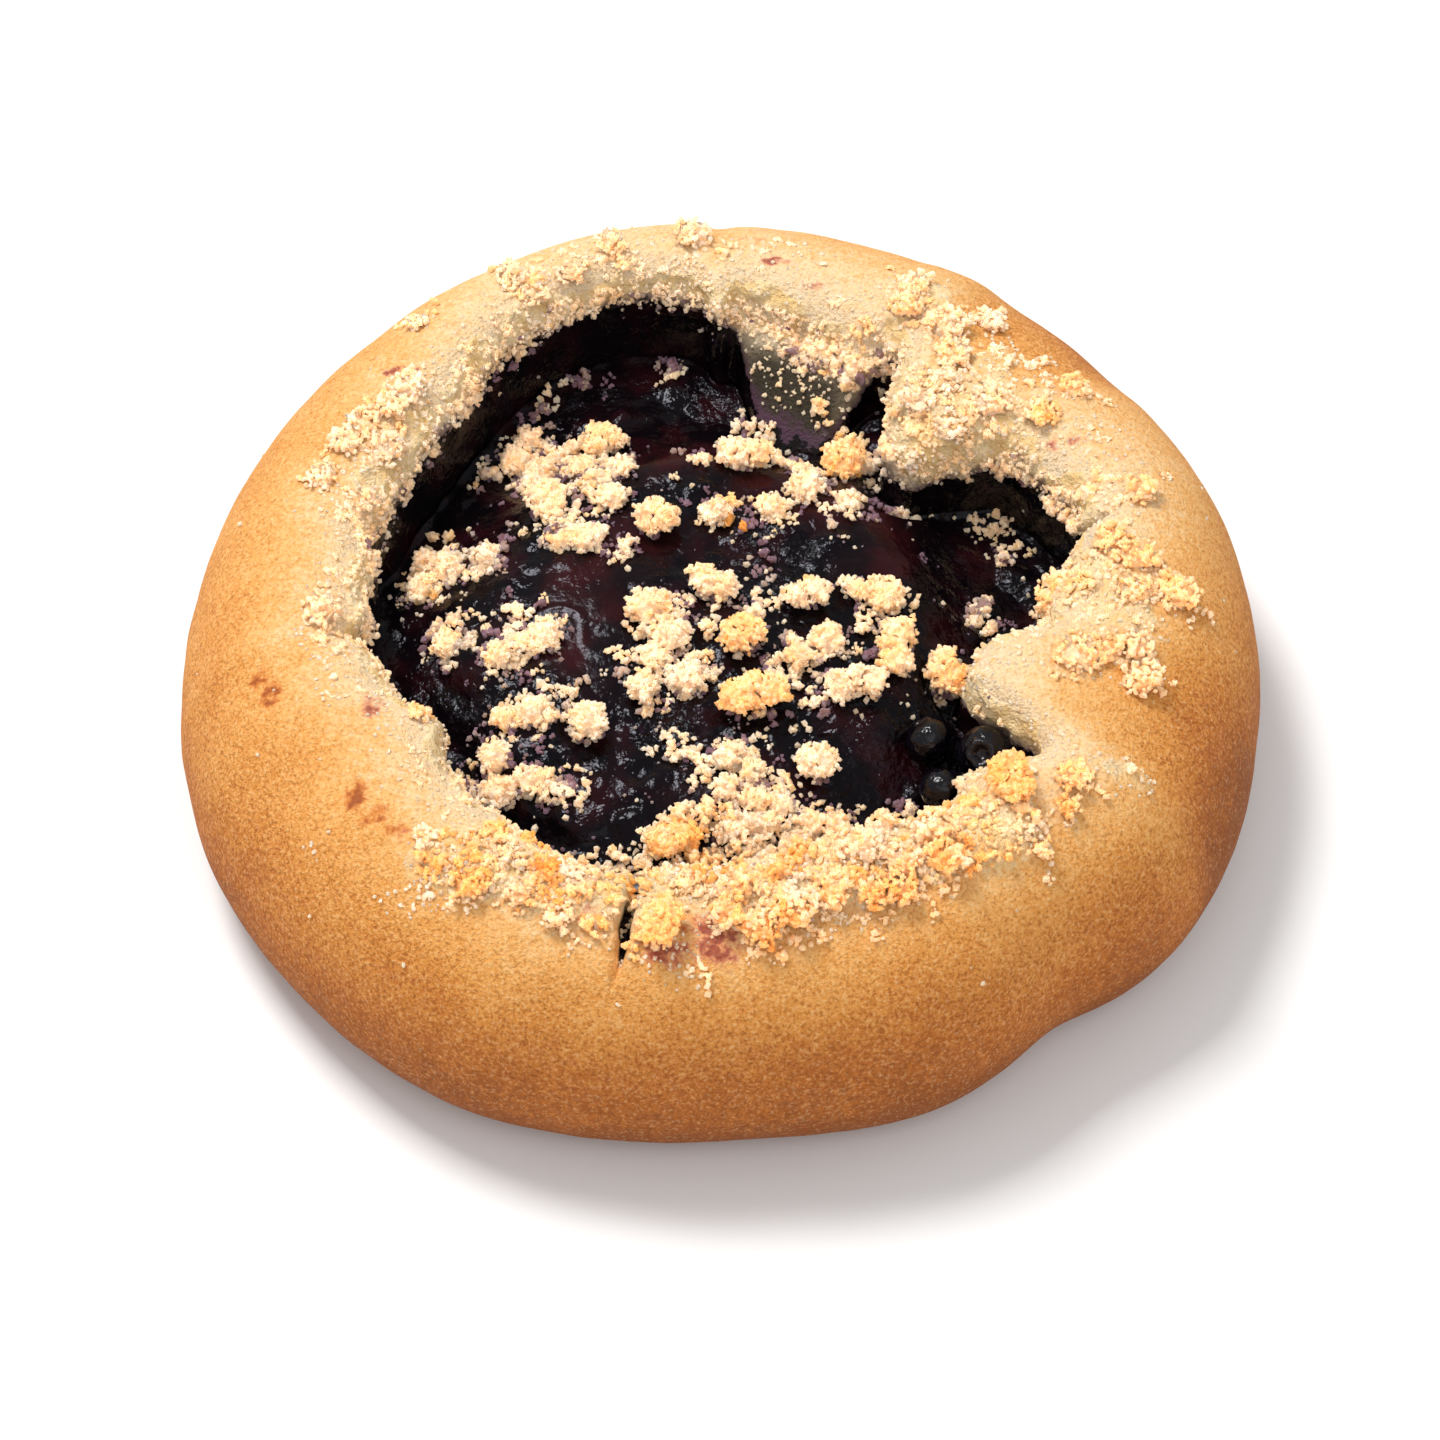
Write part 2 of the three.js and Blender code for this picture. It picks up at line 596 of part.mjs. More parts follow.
const plainBun = solidOf(bunSkin());
const crackedBun = RIM_CRACKS.reduce((dough, crack) => dough.subtract(crackSolid(crack)), plainBun);
const bun = largestBody(clumpSolids("bun", RIM_ZONES).reduce((all, clump) => all.add(clump), crackedBun));

const plainFilling = solidOf(fillingSkin());
const socketed = BERRIES.reduce((mass, berry) => mass.subtract(socketSolid(berry)), plainFilling);
const clumpsOnFilling = clumpSolids("filling", FILLING_PATCHES);
const filling = largestBody(clumpsOnFilling.reduce((all, clump) => all.add(clump), socketed));

// What a lump rests on, raised by the gap, so that its underside follows the surface.
const raisedGround = {
  bun: plainBun.translate([0, 0, LUMP_GAP]),
  filling: plainFilling.translate([0, 0, LUMP_GAP]),
};

// ---- The scene graph ---------------------------------------------------------------------------

const material = (color, roughness) => new THREE.MeshStandardMaterial({ color, roughness, metalness: 0 });

function nodeMesh(name, geometry, finish) {
  const mesh = new THREE.Mesh(geometry, finish);
  mesh.name = name;
  return mesh;
}

const pastry = new THREE.Group();
pastry.name = "fruit_bun";
pastry.add(nodeMesh("bun", geometryOf(bun), material(0xd9a562, 0.85)));
pastry.add(nodeMesh("filling", geometryOf(filling), material(0x1b0a1e, 0.2)));

BERRIES.forEach((berry, i) => {
  const name = `berry_${i + 1}`;
  pastry.add(nodeMesh(name, geometryOf(solidOf(berryGeometry(berry))), material(0x14121f, 0.35)));
});

LUMPS.forEach((lump, i) => {
  const name = `crumble_lump_${String(i + 1).padStart(2, "0")}`;
  const solid = lumpSolid(lump, raisedGround[lump.on]);
  pastry.add(nodeMesh(name, geometryOf(solid), material(0xe8c98a, 0.9)));
});

export default pastry;
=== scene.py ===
# %% [markdown]
# # A fruit bun with crumble, built round its CAD frame
#
# This lesson rebuilds the looks of a round sweet bun: a baked rim, a hollow of dark berry filling,
# and butter crumble scattered over both. The CAD part gives the true sizes and the places of
# every piece. Here each CAD solid is exchanged for a finer mesh of the same form, and every
# surface gets a procedural finish. Lengths in the code are millimetres of the real bun.

import math

import bpy
import numpy as np
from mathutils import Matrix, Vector
from mathutils.bvhtree import BVHTree


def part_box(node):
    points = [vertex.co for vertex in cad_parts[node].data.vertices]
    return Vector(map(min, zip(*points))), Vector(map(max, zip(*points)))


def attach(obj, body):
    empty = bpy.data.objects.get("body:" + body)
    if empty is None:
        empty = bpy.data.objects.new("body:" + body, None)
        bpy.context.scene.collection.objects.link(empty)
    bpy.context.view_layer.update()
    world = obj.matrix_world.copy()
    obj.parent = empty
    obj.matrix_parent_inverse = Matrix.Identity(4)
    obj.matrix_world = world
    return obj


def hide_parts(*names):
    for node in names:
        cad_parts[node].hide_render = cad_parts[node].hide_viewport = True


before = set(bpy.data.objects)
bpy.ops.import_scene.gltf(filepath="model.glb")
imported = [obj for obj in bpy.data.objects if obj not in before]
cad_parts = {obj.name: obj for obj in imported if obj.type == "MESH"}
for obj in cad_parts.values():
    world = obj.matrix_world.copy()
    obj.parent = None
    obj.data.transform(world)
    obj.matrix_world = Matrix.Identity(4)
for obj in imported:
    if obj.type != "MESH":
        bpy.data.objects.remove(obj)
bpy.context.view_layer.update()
bun_low, bun_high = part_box("bun")
DRAWN_WIDTH = 109.99  # the bun's width along X as drawn, in millimetres
MM = (bun_high.x - bun_low.x) / DRAWN_WIDTH  # metres of this frame in one drawn millimetre
print("one drawn millimetre is", round(MM * 1000, 4), "mm; nodes:", len(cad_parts))

# %% [markdown]
# ## Numbers that look random but never change
#
# Dough and crumble are uneven at every scale. Value noise gives that: each point of a grid gets a
# random number from a hash of its place, and points between blend their neighbours' numbers.
# The hash holds no state, so the same place always gets the same number. Everything that is
# drawn by lot comes from one generator with a fixed seed.

# %% Noise in space
SEED = 20817
HASH_PRIMES = (73856093, 19349663, 83492791)  # one for each direction in space
SEED_PRIME, STIR_PRIME = 2654435761, 1274126177
random = np.random.default_rng(SEED)


def smooth(x, start, end):
    """A soft step from 0 at the start to 1 at the end, which may be the smaller number."""
    t = np.clip((np.asarray(x, float) - start) / (end - start), 0, 1)
    return t * t * (3 - 2 * t)


def mix(a, b, share):
    return a + (b - a) * share


def hashed(cell, seed):
    """A number from -1 to 1 for each row of whole numbers."""
    n = seed * SEED_PRIME
    for direction, prime in enumerate(HASH_PRIMES):
        n = n ^ (cell[..., direction].astype(np.int64) * prime)
    n = ((n ^ (n >> 13)) * STIR_PRIME) & 0xFFFFFFFF
    return ((n ^ (n >> 16)) & 0xFFFF) / 32767.5 - 1


def noise(places, size, seed):
    """Smooth noise from -1 to 1 with features of about this size."""
    p = np.asarray(places, float) / size
    low = np.floor(p)
    t = p - low
    t = t * t * (3 - 2 * t)
    total = np.zeros(p.shape[:-1])
    for corner in np.ndindex(2, 2, 2):
        weight = np.prod(np.where(np.array(corner) == 1, t, 1 - t), axis=-1)
        total += weight * hashed(low + np.array(corner), seed)
    return total


def layered(places, size, seed, layers=3):
    """Noise with finer noise on it, each layer half as large and half as high."""
    total = sum(noise(places, size / 2**k, seed + k) / 2**k for k in range(layers))
    return total / 1.5


print("noise at the origin:", round(float(noise(np.zeros((1, 3)), 5, 1)[0]), 3))

# %% [markdown]
# ## The bun's form
#
# The rim's outline, its crest and the edge of the hollow all wander. Each is a mean value with a
# few lobes in azimuth, the same ones that the CAD part has. As functions of the azimuth they can be
# sampled as finely as a picture needs, where the CAD solid keeps to few faces.

# %% Lobes in azimuth
# Each row: the middle and the half width in degrees, the size in millimetres, the squareness.
OUTLINE_LOBES = [
    (310, 7, -1.5, 2), (292, 9, 0.7, 2), (330, 12, 0.7, 2), (50, 13, 0.9, 2), (113, 18, -0.8, 2),
    (215, 11, -0.4, 2), (243, 11, 0.5, 2), (271, 9, -0.5, 2),
]
CREST_LOBES = [
    (340, 14, 0.8, 2), (205, 30, 0.6, 2), (255, 12, -0.7, 2), (75, 12, -0.5, 2),
    (110, 20, -0.5, 2),
]
LIP_LOBES = [
    (107, 25, 6.6, 2), (90, 2, -2.4, 2), (169, 3, 1.1, 2), (190, 2.2, 2.2, 2), (211, 6, -2.8, 2),
    (249, 8, 1.3, 2), (293, 11, -2.3, 2), (318, 4, -1.7, 2), (327, 4, 2.2, 2), (340, 9.5, -8.2, 4),
    (354, 6, -1.9, 2), (17, 9, 2.8, 2), (45, 10, -8.5, 4), (60, 4, 1.6, 4), (77, 8, 0.6, 2),
]
TONGUE_LOBES = [(74.5, 12, 13, 5), (45, 11, 3, 4), (283, 20, 3, 4), (340, 9, 2, 4)]
MOAT_LOBES = [(115, 50, -2.6, 4), (15, 22, -2.2, 4), (265, 30, 1.6, 4)]


def lobes(rows, azimuth):
    """The sum of rows of (middle, half width, size, squareness) at each azimuth in degrees."""
    total = np.zeros(np.shape(azimuth))
    for at, half, size, square in rows:
        gap = np.abs((azimuth - at + 180) % 360 - 180)
        total = total + size * np.exp(-((gap / half) ** square))
    return total


# %% [markdown]
# A section through the rim has four parts: a rounded edge under the widest ring, the flank up to
# the crest, a small roll down to the lip, and the wall of the hollow. The wall is steep all round
# except at the tongues of dough, where it slopes.

# %% The section through the rim
MEAN_RADIUS, MEAN_CREST, MEAN_LIP = 54.8, 27, 35.2  # widest radius, crest height, lip radius
WIDEST_AT = 9.5  # height of the widest ring above the sole
SOLE_INSET = 7.5  # how much narrower the sole is than the widest ring
CREST_AT = 0.28  # where the crest lies between the lip (0) and the widest ring (1)
LIP_DROP = 4.4  # how far the lip lies below the crest
WALL_LEAN = 3.2  # how far the wall comes in from the lip to the floor
FLOOR = 9.0  # height of the hollow's floor
GAP = 0.35  # between the dough and the filling
STEEP, SLOPING = 0.45, 1.15  # powers of the wall's curve, elsewhere and at a tongue
FULL_TONGUE = 12  # length of a tongue whose wall slopes fully


def widest_radius(az):
    swell = 0.57 * np.cos(2 * np.radians(az - 35)) + 0.54 * np.cos(3 * np.radians(az + 18))
    return MEAN_RADIUS + swell + lobes(OUTLINE_LOBES, az)


def crest_height(az):
    return MEAN_CREST + lobes(CREST_LOBES, az)


def lip_height(az):
    return crest_height(az) - LIP_DROP


def lip_radius(az):
    return MEAN_LIP + lobes(LIP_LOBES, az)


def crest_radius(az):
    return mix(lip_radius(az), widest_radius(az), CREST_AT)


def foot_radius(az):
    return lip_radius(az) - WALL_LEAN - lobes(TONGUE_LOBES, az)


def wall_power(az):
    return mix(STEEP, SLOPING, np.minimum(1, lobes(TONGUE_LOBES, az) / FULL_TONGUE))


def wall_radius(az, z):
    rise = np.clip((z - FLOOR) / (lip_height(az) - FLOOR), 0, 1)
    return mix(foot_radius(az), lip_radius(az), rise ** wall_power(az))


def dough_height(az, radius):
    """Height of the bun's upper surface outside the filling."""
    lip, crest, top, foot = lip_radius(az), crest_radius(az), crest_height(az), foot_radius(az)
    out = np.clip((radius - crest) / (widest_radius(az) - crest), 0, 1)
    flank = WIDEST_AT + (top - WIDEST_AT) * np.sqrt(1 - out**2)
    in_ = np.clip((crest - radius) / (crest - lip), 0, 1)
    roll = lip_height(az) + LIP_DROP * np.sqrt(1 - in_**2)
    share = np.clip((radius - foot) / (lip - foot), 0, 1) ** (1 / wall_power(az))
    wall = mix(FLOOR, lip_height(az), share)
    return np.where(radius >= crest, flank, np.where(radius >= lip, roll, wall))


sample = np.arange(0.0, 360, 1)
print("lip radius", lip_radius(sample).min().round(1), "to", lip_radius(sample).max().round(1))

# %% [markdown]
# ## The filling's form
#
# Cooked berries swell to a mound in the middle, and a lower moat runs round it where the
# syrup settled. Its height is again a function of place, with a few soft swells.

# %% Heights of the filling
# Swells: middle x, y, half width, rise.
FILLING_SWELLS = [
    (13, 12, 8, 1.1), (-14, 2, 7, 0.9), (-4, 22, 6, 1.0), (-8, -18, 6, -0.8), (16, -10, 6, 0.6),
    (-16, 17, 6, -0.9), (3, -9, 6, 0.7),
]
DOME_TOP, DOME_SAG, DOME_RADIUS, DOME_SHIFT = 22.6, 1.9, 29.5, 2
MOAT_LEVEL = 16.6


def polar(x, y):
    """Azimuth in degrees and radius."""
    return np.degrees(np.arctan2(y, x)), np.hypot(x, y)


def moat_height(az):
    return MOAT_LEVEL + lobes(MOAT_LOBES, az)


def filling_height(x, y):
    """Height of the filling's smooth top, the dome blended into the moat."""
    share = np.hypot(x + DOME_SHIFT, y + DOME_SHIFT) / DOME_RADIUS
    fall = smooth(share, 0.66, 1.12)
    dome = DOME_TOP - DOME_SAG * np.minimum(1, share) ** 2
    swells = 0
    for cx, cy, half, rise in FILLING_SWELLS:
        swells = swells + rise * np.exp(-((np.hypot(x - cx, y - cy) / half) ** 2))
    return mix(dome, moat_height(polar(x, y)[0]), fall) + swells * (1 - fall)


def edge_radius(az):
    """Radius of the filling's edge, a gap inside the wall."""
    return wall_radius(az, moat_height(az) - GAP) - GAP


print("filling in the middle:", round(float(filling_height(0.0, 0.0)), 2), "mm above the sole")

# %% [markdown]
# ## Meshes from arrays
#
# A mesh with a hundred thousand faces is too much for a Python loop. Blender takes whole arrays
# with `foreach_set`, so each piece is worked out in numpy and handed over at once. Numbers
# that the finish needs later, such as how brown the crust is, ride along as point attributes.

# %% From arrays to objects
def make_mesh(name, points, triangles, attributes, rounded=True):
    """An object from points in millimetres, triangles, and named values of the points."""
    mesh = bpy.data.meshes.new(name)
    mesh.vertices.add(len(points))
    mesh.vertices.foreach_set("co", (np.asarray(points) * MM).astype(np.float32).ravel())
    mesh.loops.add(triangles.size)
    mesh.loops.foreach_set("vertex_index", triangles.astype(np.int32).ravel())
    mesh.polygons.add(len(triangles))
    starts = np.arange(0, triangles.size, 3, dtype=np.int32)
    mesh.polygons.foreach_set("loop_start", starts)
    mesh.polygons.foreach_set("use_smooth", np.full(len(triangles), rounded))
    mesh.update(calc_edges=True)
    for key, values in attributes.items():
        layer = mesh.attributes.new(key, "FLOAT", "POINT")
        layer.data.foreach_set("value", np.asarray(values, np.float32).ravel())
    obj = bpy.data.objects.new(name, mesh)
    bpy.context.scene.collection.objects.link(obj)
    print(f"{name}: {len(triangles)} triangles")
    return obj


# %% [markdown]
# The bun, the filling and the berries are all tubes of rings that close in a tip at both ends, so
# their faces follow from the number of rings and of steps round them.

# %% Closed tubes of points
def grid_triangles(rings, steps):
    """Faces of a tube of points, ring after ring, with one tip point before it and one after."""
    ring, step = np.meshgrid(np.arange(rings - 1), np.arange(steps), indexing="ij")
    a = 1 + ring * steps + step
    b = 1 + ring * steps + (step + 1) % steps
    near, far = np.stack([a, b, b + steps], -1), np.stack([a, b + steps, a + steps], -1)
    each = np.arange(steps)
    after = (each + 1) % steps
    tip = np.stack([np.zeros(steps, int), 1 + after, 1 + each], -1)
    last = 1 + (rings - 1) * steps
    end = np.stack([np.full(steps, last + steps), last + each, last + after], -1)
    return np.concatenate([np.concatenate([near, far]).reshape(-1, 3), tip, end])


def grid_normals(grid):
    """Normals of a grid of points, rings first, closed in its second direction."""
    around = np.roll(grid, -1, axis=1) - np.roll(grid, 1, axis=1)
    along = np.gradient(grid, axis=0)
    normal = np.cross(around, along)
    return normal / np.maximum(np.linalg.norm(normal, axis=-1, keepdims=True), 1e-9)


def closed(grid, first, last):
    """A grid's points in one row, between its two tips."""
    return np.concatenate([[first], grid.reshape(-1, 3), [last]])


def with_tips(values, first, last):
    """A grid's values in one row, between those of its two tips."""
    return np.concatenate([[first], np.ravel(values), [last]])


print("a tube of 3 rings and 8 steps has", len(grid_triangles(3, 8)), "faces")

# %% [markdown]
# ## Heaps, cracks and the line that the syrup reached
#
# Three things change the smooth rim. Crumble lies in heaps at the front and the right, and thinly
# elsewhere; the rim split in three places as it rose; and boiling filling crept up the wall
# of the hollow and dried there. All three are fields over the surface: the mesh takes its
# relief from them, and the finish takes its colours.

# %% Where the crumble lies
# Heaps of crumble on the rim: middle x, y, half sizes, height.
HEAPS = [
    (5.0, -34.2, 8.2, 6.6, 2.0), (-1.6, -34.2, 5.6, 5.4, 1.5), (12.9, -34.8, 6.6, 5.2, 1.5),
    (20.0, -32.8, 5.4, 4.6, 1.2), (26.4, -30.6, 5.0, 4.8, 1.2), (-22.9, -35.0, 7.4, 4.0, 1.0),
    (-15.0, -37.0, 4.4, 4.6, 1.0), (-8.0, -38.0, 4.5, 3.6, 0.8), (34.5, 1.0, 4.6, 5.2, 0.8),
    (22.5, 22.0, 6.0, 5.6, 0.8), (29.0, 17.0, 4.4, 4.4, 0.6),
]
# Where the front heap spills over the lip on to the filling.
SPILLS = [
    (-1.4, -28.4, 6.4, 4.6, 2.4), (5.6, -29.0, 5.8, 4.2, 2.6), (14.5, -30.4, 6.8, 2.8, 1.6),
    (-15.5, -31.5, 4.5, 3.0, 1.0), (22.0, -29.2, 4.0, 2.2, 0.9),
]
# Thin crumble baked on to the rim: middle x, y, half sizes, density.
SPRINKLES = [
    (-34.5, 10.0, 4.5, 9.0, 0.9), (-31.0, 22.0, 4.0, 5.0, 0.7), (-24.0, 31.0, 6.0, 4.0, 0.6),
    (-10.0, 41.0, 11.0, 2.6, 0.7), (6.0, 43.5, 9.0, 2.4, 0.5), (20.0, 36.0, 6.0, 5.0, 0.8),
    (30.0, 27.0, 6.0, 6.0, 0.9), (39.5, 14.0, 4.0, 6.0, 0.5), (41.0, -5.0, 5.0, 9.0, 0.9),
    (39.0, -24.6, 4.5, 2.5, 0.8), (-36.5, -3.0, 3.0, 5.0, 0.4), (-38.5, -30.0, 3.0, 2.0, 0.5),
    (-24.0, -36.0, 9.0, 4.0, 0.8), (6.0, -37.5, 14.0, 5.5, 1.0), (-5.0, -44.5, 5.0, 3.5, 0.5),
]


def patches(rows, x, y):
    """The strongest of several soft-edged oblongs at each place."""
    best = np.zeros(np.shape(x))
    for cx, cy, rx, ry, size in rows:
        far = np.hypot((x - cx) / rx, (y - cy) / ry)
        best = np.maximum(best, size * smooth(far, 1.25, 0.45))
    return best


print("crumble lies in", len(HEAPS), "heaps,", len(SPILLS), "spills,", len(SPRINKLES), "patches")

# %% [markdown]
# A crack is a wandering groove along one azimuth, narrower and shallower towards both ends. The
# dried filling ends along a line below the lip, which needs no more than lobes in azimuth.

# %% Cracks and dried filling
# Cracks: azimuth, radius at which it starts and ends, width, depth.
CRACKS = [(258, 35, 49.5, 1.7, 3.2), (190, 34.5, 40, 1.3, 2.4), (12.5, 35, 42.5, 1.6, 2.0)]
# How far below the lip the dried filling stops: hardly at all, but well down on tongues of dough.
COAT_LOBES = [
    (75, 12, 6.2, 8), (45, 9, 3.0, 4), (283, 20, 2.5, 4), (340, 9, 3.0, 4), (354, 6, 1.0, 2),
]
COAT_LEVEL = 0.1


def crack_share(places, az, radius):
    """1 in the bottom of a crack and 0 away from it; and how deep the crack is there."""
    share, depth = np.zeros(radius.shape), np.zeros(radius.shape)
    wander = 0.35 * noise(places, 1.6, 71)
    for at, start, end, width, deep in CRACKS:
        turn = np.radians((az - at + 180) % 360 - 180)
        across = np.abs(radius * np.sin(turn) + wander)
        along = radius * np.cos(turn)
        reach = smooth(along, start - 2, start + 0.5) * smooth(along, end, end - 6)
        half_width = 0.55 * width * (0.35 + 0.65 * reach)
        here = smooth(across, half_width, 0.1) * (reach > 0.02) * reach
        depth = np.where(here > share, deep, depth)
        share = np.maximum(share, here)
    return share, depth


def coat_line(az):
    return COAT_LEVEL + lobes(COAT_LOBES, az)


print("deepest edge of the dried filling:", coat_line(sample).max().round(1), "mm below the lip")

# %% [markdown]
# ## The bun
#
# The bun is one skin: rings of points run from the middle of the sole, out round the edge, up the
# flank, over the crest, and down the wall of the hollow under the filling. Rings lie
# closest together where light grazes the surface.

# %% Rings of the bun's skin
AZIMUTHS = 720
EDGE_RINGS, FLANK_RINGS, ROLL_RINGS, WALL_RINGS = 12, 40, 36, 44
WALL_END = 11.0  # the fine rings of the wall end at this height, under the filling
az = np.arange(AZIMUTHS) * 360 / AZIMUTHS


def quarter(count):
    """Evenly spaced points of a quarter turn: the share across and the share up."""
    turn = np.linspace(0, np.pi / 2, count, endpoint=False)
    return zip(np.sin(turn), np.cos(turn))


rings = []
for across, up in quarter(EDGE_RINGS):  # the edge under the widest ring
    rings.append((widest_radius(az) - SOLE_INSET * (1 - across), WIDEST_AT * (1 - up) + 0 * az))
flank = [
    (mix(crest_radius(az), widest_radius(az), across), mix(WIDEST_AT, crest_height(az), up))
    for across, up in quarter(FLANK_RINGS)
]
rings += [(widest_radius(az), WIDEST_AT + 0 * az)] + flank[:0:-1]
for across, up in quarter(ROLL_RINGS):  # the roll from the crest to the lip
    rings.append((mix(crest_radius(az), lip_radius(az), across), lip_height(az) + LIP_DROP * up))
for share in np.linspace(0, 1, WALL_RINGS):  # the wall, down past the edge of the filling
    z = mix(lip_height(az), WALL_END, share)
    rings.append((wall_radius(az, z), z))
rings.append((foot_radius(az), FLOOR + 0 * az))

turn = np.radians(az)
skin = np.array([np.stack([r * np.cos(turn), r * np.sin(turn), z], -1) for r, z in rings])
skin_x, skin_y, skin_z = skin[..., 0], skin[..., 1], skin[..., 2]
normals = grid_normals(skin)
print("the bun's skin has", len(rings), "rings of", AZIMUTHS, "points")

# %% [markdown]
# Browning, crumbs and dried syrup all depend on how far a place lies from the lip. So each point
# gets its distance over the surface, positive outwards and negative down the wall. It is
# easy to work out here in numpy and would be awkward in shader nodes.

# %% Distance from the lip
FALL_WEIGHT = 0.7  # how much of the fall from the crest counts as distance
radius = np.hypot(skin_x, skin_y)
azimuth = np.broadcast_to(az, radius.shape)
lip, crest, lip_level = lip_radius(azimuth), crest_radius(azimuth), lip_height(azimuth)
ring_number = np.arange(len(rings))[:, None]
climb = np.where(radius < lip, skin_z - lip_level, (radius - lip) + skin_z - lip_level)
fall = FALL_WEIGHT * (crest_height(azimuth) - skin_z)
over = (crest - lip) + LIP_DROP + (radius - crest) + fall
below = np.maximum(0, WIDEST_AT - skin_z) * (ring_number < EDGE_RINGS)
is_flank = (ring_number < EDGE_RINGS + FLANK_RINGS) & (radius > crest - 1e-6)
outward = np.where(is_flank, over + below, climb)
print("from", outward.min().round(1), "to", outward.max().round(1), "mm outwards from the lip")

# %% [markdown]
# Risen dough is never an exact curve. Noise pushes every point along its normal, in broad swells
# and in finer ones. Where crumbs cover the dough the push is rougher; heaps rise and cracks
# sink. A displacement of the mesh shows in the outline, which a bump in the finish does not.

# %% The dough's relief
heap = patches(HEAPS, skin_x, skin_y) * smooth(outward, -1.5, 1.0)
sprinkle = patches(SPRINKLES, skin_x, skin_y) * smooth(outward, -0.5, 1.0)
crack, crack_depth = crack_share(skin, azimuth, radius)
shown = smooth(skin_z, 0.2, 5)  # nothing moves the flat sole

# How much of the dough crumbs cover: all of it near the lip, less in patches further out.
lip_band = smooth(outward + 1.5 * noise(skin, 6.0, 35), 9.5, 1.5) * smooth(outward, -3.0, -0.5)
covered = np.maximum(np.maximum(smooth(heap, 0.05, 0.4), 0.78 * sprinkle), 0.95 * lip_band)
strewn = covered > 0.15
crumbly, crumb_relief = np.zeros(radius.shape), np.zeros(radius.shape)
spots = skin[strewn]
edge_noise = layered(spots, 2.6, 36, 3) + 1.6 * covered[strewn] - 1.0
crumbly[strewn] = smooth(edge_noise, -0.08, 0.22)
crumb_relief[strewn] = 0.20 + 0.28 * noise(spots, 1.5, 31) + 0.24 * noise(spots, 0.8, 37)

push = 0.30 * layered(skin, 15, 11, 2) + 0.12 * layered(skin, 4.5, 21, 2)
push += crumb_relief * crumbly
uneven_lip = 0.45 * noise(skin, 4.6, 33) + 0.35 * noise(skin, 2.2, 39)
push += uneven_lip * smooth(outward, 5, 0) * smooth(outward, -6, -1)
push += heap * (0.62 + 0.38 * noise(skin, 3.0, 34))
push -= crack * crack_depth
bun_points = skin + normals * (push * shown)[..., None]
print("the relief runs from", push.min().round(2), "to", push.max().round(2), "mm")

# %% [markdown]
# The finish reads values at each point: the distance outwards, which stands for how brown the
# crust is, painted shade in the hollow, dried syrup, crumbs and cracks. The front, which faces
# away from the key lamp, is painted a little browner than its distance says, as shade. The left
# side is browner at its shoulder and paler at its foot.

# %% Values for the finish
# Painted shade on the dough in the hollow's shade, darkened grey: middle x, y, half sizes,
# strength.
PAINTED_SHADE_PATCHES = [(7.5, 31.0, 8.5, 9.5, 1.1), (20.0, 25.5, 3.0, 3.0, 0.5)]
westward = -np.cos(np.radians(azimuth))  # 1 at the left end of the bun and -1 at the right
# Painted shade: places that face the front, away from the key lamp, count as further out, so they
# come out browner.
front = -normals[..., 1] * smooth(outward, 8, 22)
left_shoulder = smooth(westward, 0.3, 1) * smooth(outward, 3, 10) * smooth(outward, 30, 16)
left_foot = 3.0 * smooth(westward, 0.2, 0.9) * smooth(outward, 20, 32)
crust_values = {
    "out": outward + 4.0 * front + 4.0 * left_shoulder - left_foot,
    "painted_shade": patches(PAINTED_SHADE_PATCHES, skin_x, skin_y) * smooth(outward, -0.2, -2.5),
    "coat": -outward - coat_line(azimuth),
    "crumbly": crumbly,
    "crack": crack,
}
print("values on the crust:", ", ".join(crust_values))

# %% [markdown]
# ## Stains on the crust
#
# Berry juice spat out of the hollow and baked on: red-brown in small pits, wine red in thin
# smears. A stain is a soft oblong, and noise in its finish breaks it up later.

# %% Stains, and the bun's mesh
# Middle x, y, half sizes, strength.
BROWN_STAINS = [
    (-45.3, -12.2, 1.3, 1.6, 0.8), (-43.9, -14.4, 1.4, 2.0, 1.0), (-35.2, -27.0, 1.6, 2.0, 1.0),
    (-33.4, -29.4, 2.4, 1.4, 0.9), (-30.4, -31.6, 2.4, 1.1, 0.8), (28.4, -23.0, 2.2, 1.2, 0.9),
    (-3.6, -42.4, 2.4, 1.6, 0.6),
]
WINE_STAINS = [
    (-32.4, 27.0, 2.6, 1.0, 0.9), (-27.0, 33.0, 2.0, 1.4, 0.5), (6.0, 42.3, 1.9, 0.8, 1.0),
    (10.0, 39.0, 1.6, 0.7, 0.8), (3.0, 45.4, 2.8, 1.0, 0.45), (35.3, 17.6, 2.8, 1.0, 0.6),
    (40.6, 16.0, 1.4, 1.6, 0.5), (0.0, -43.6, 3.0, 3.4, 1.0), (-4.4, -44.8, 3.4, 1.8, 0.9),
    (-13.5, -36.8, 2.4, 3.2, 0.6), (-12.6, -41.0, 1.8, 2.6, 0.5), (-34.0, -16.6, 1.4, 2.4, 0.9),
    (-30.0, -32.0, 1.8, 0.9, 0.7),
]
for key, rows in (("brown", BROWN_STAINS), ("wine", WINE_STAINS)):
    on_rim = smooth(outward, -1, 0.5) * (skin_z > WIDEST_AT)
    crust_values[key] = patches(rows, skin_x, skin_y) * on_rim

bun_flat = closed(bun_points, [0, 0, 0.0], [0, 0, FLOOR])
bun_triangles = grid_triangles(len(rings), AZIMUTHS)
crust_values = {k: with_tips(v, v[0, 0], v[-1, -1]) for k, v in crust_values.items()}
bun = make_mesh("bun_crust", bun_flat, bun_triangles, crust_values)

# %% [markdown]
# ## The filling
#
# Its mesh has the CAD solid's hidden wall and floor, and a fine upper side of rings that shrink
# towards the middle. The outermost ring reaches past the CAD edge and touches the dough.

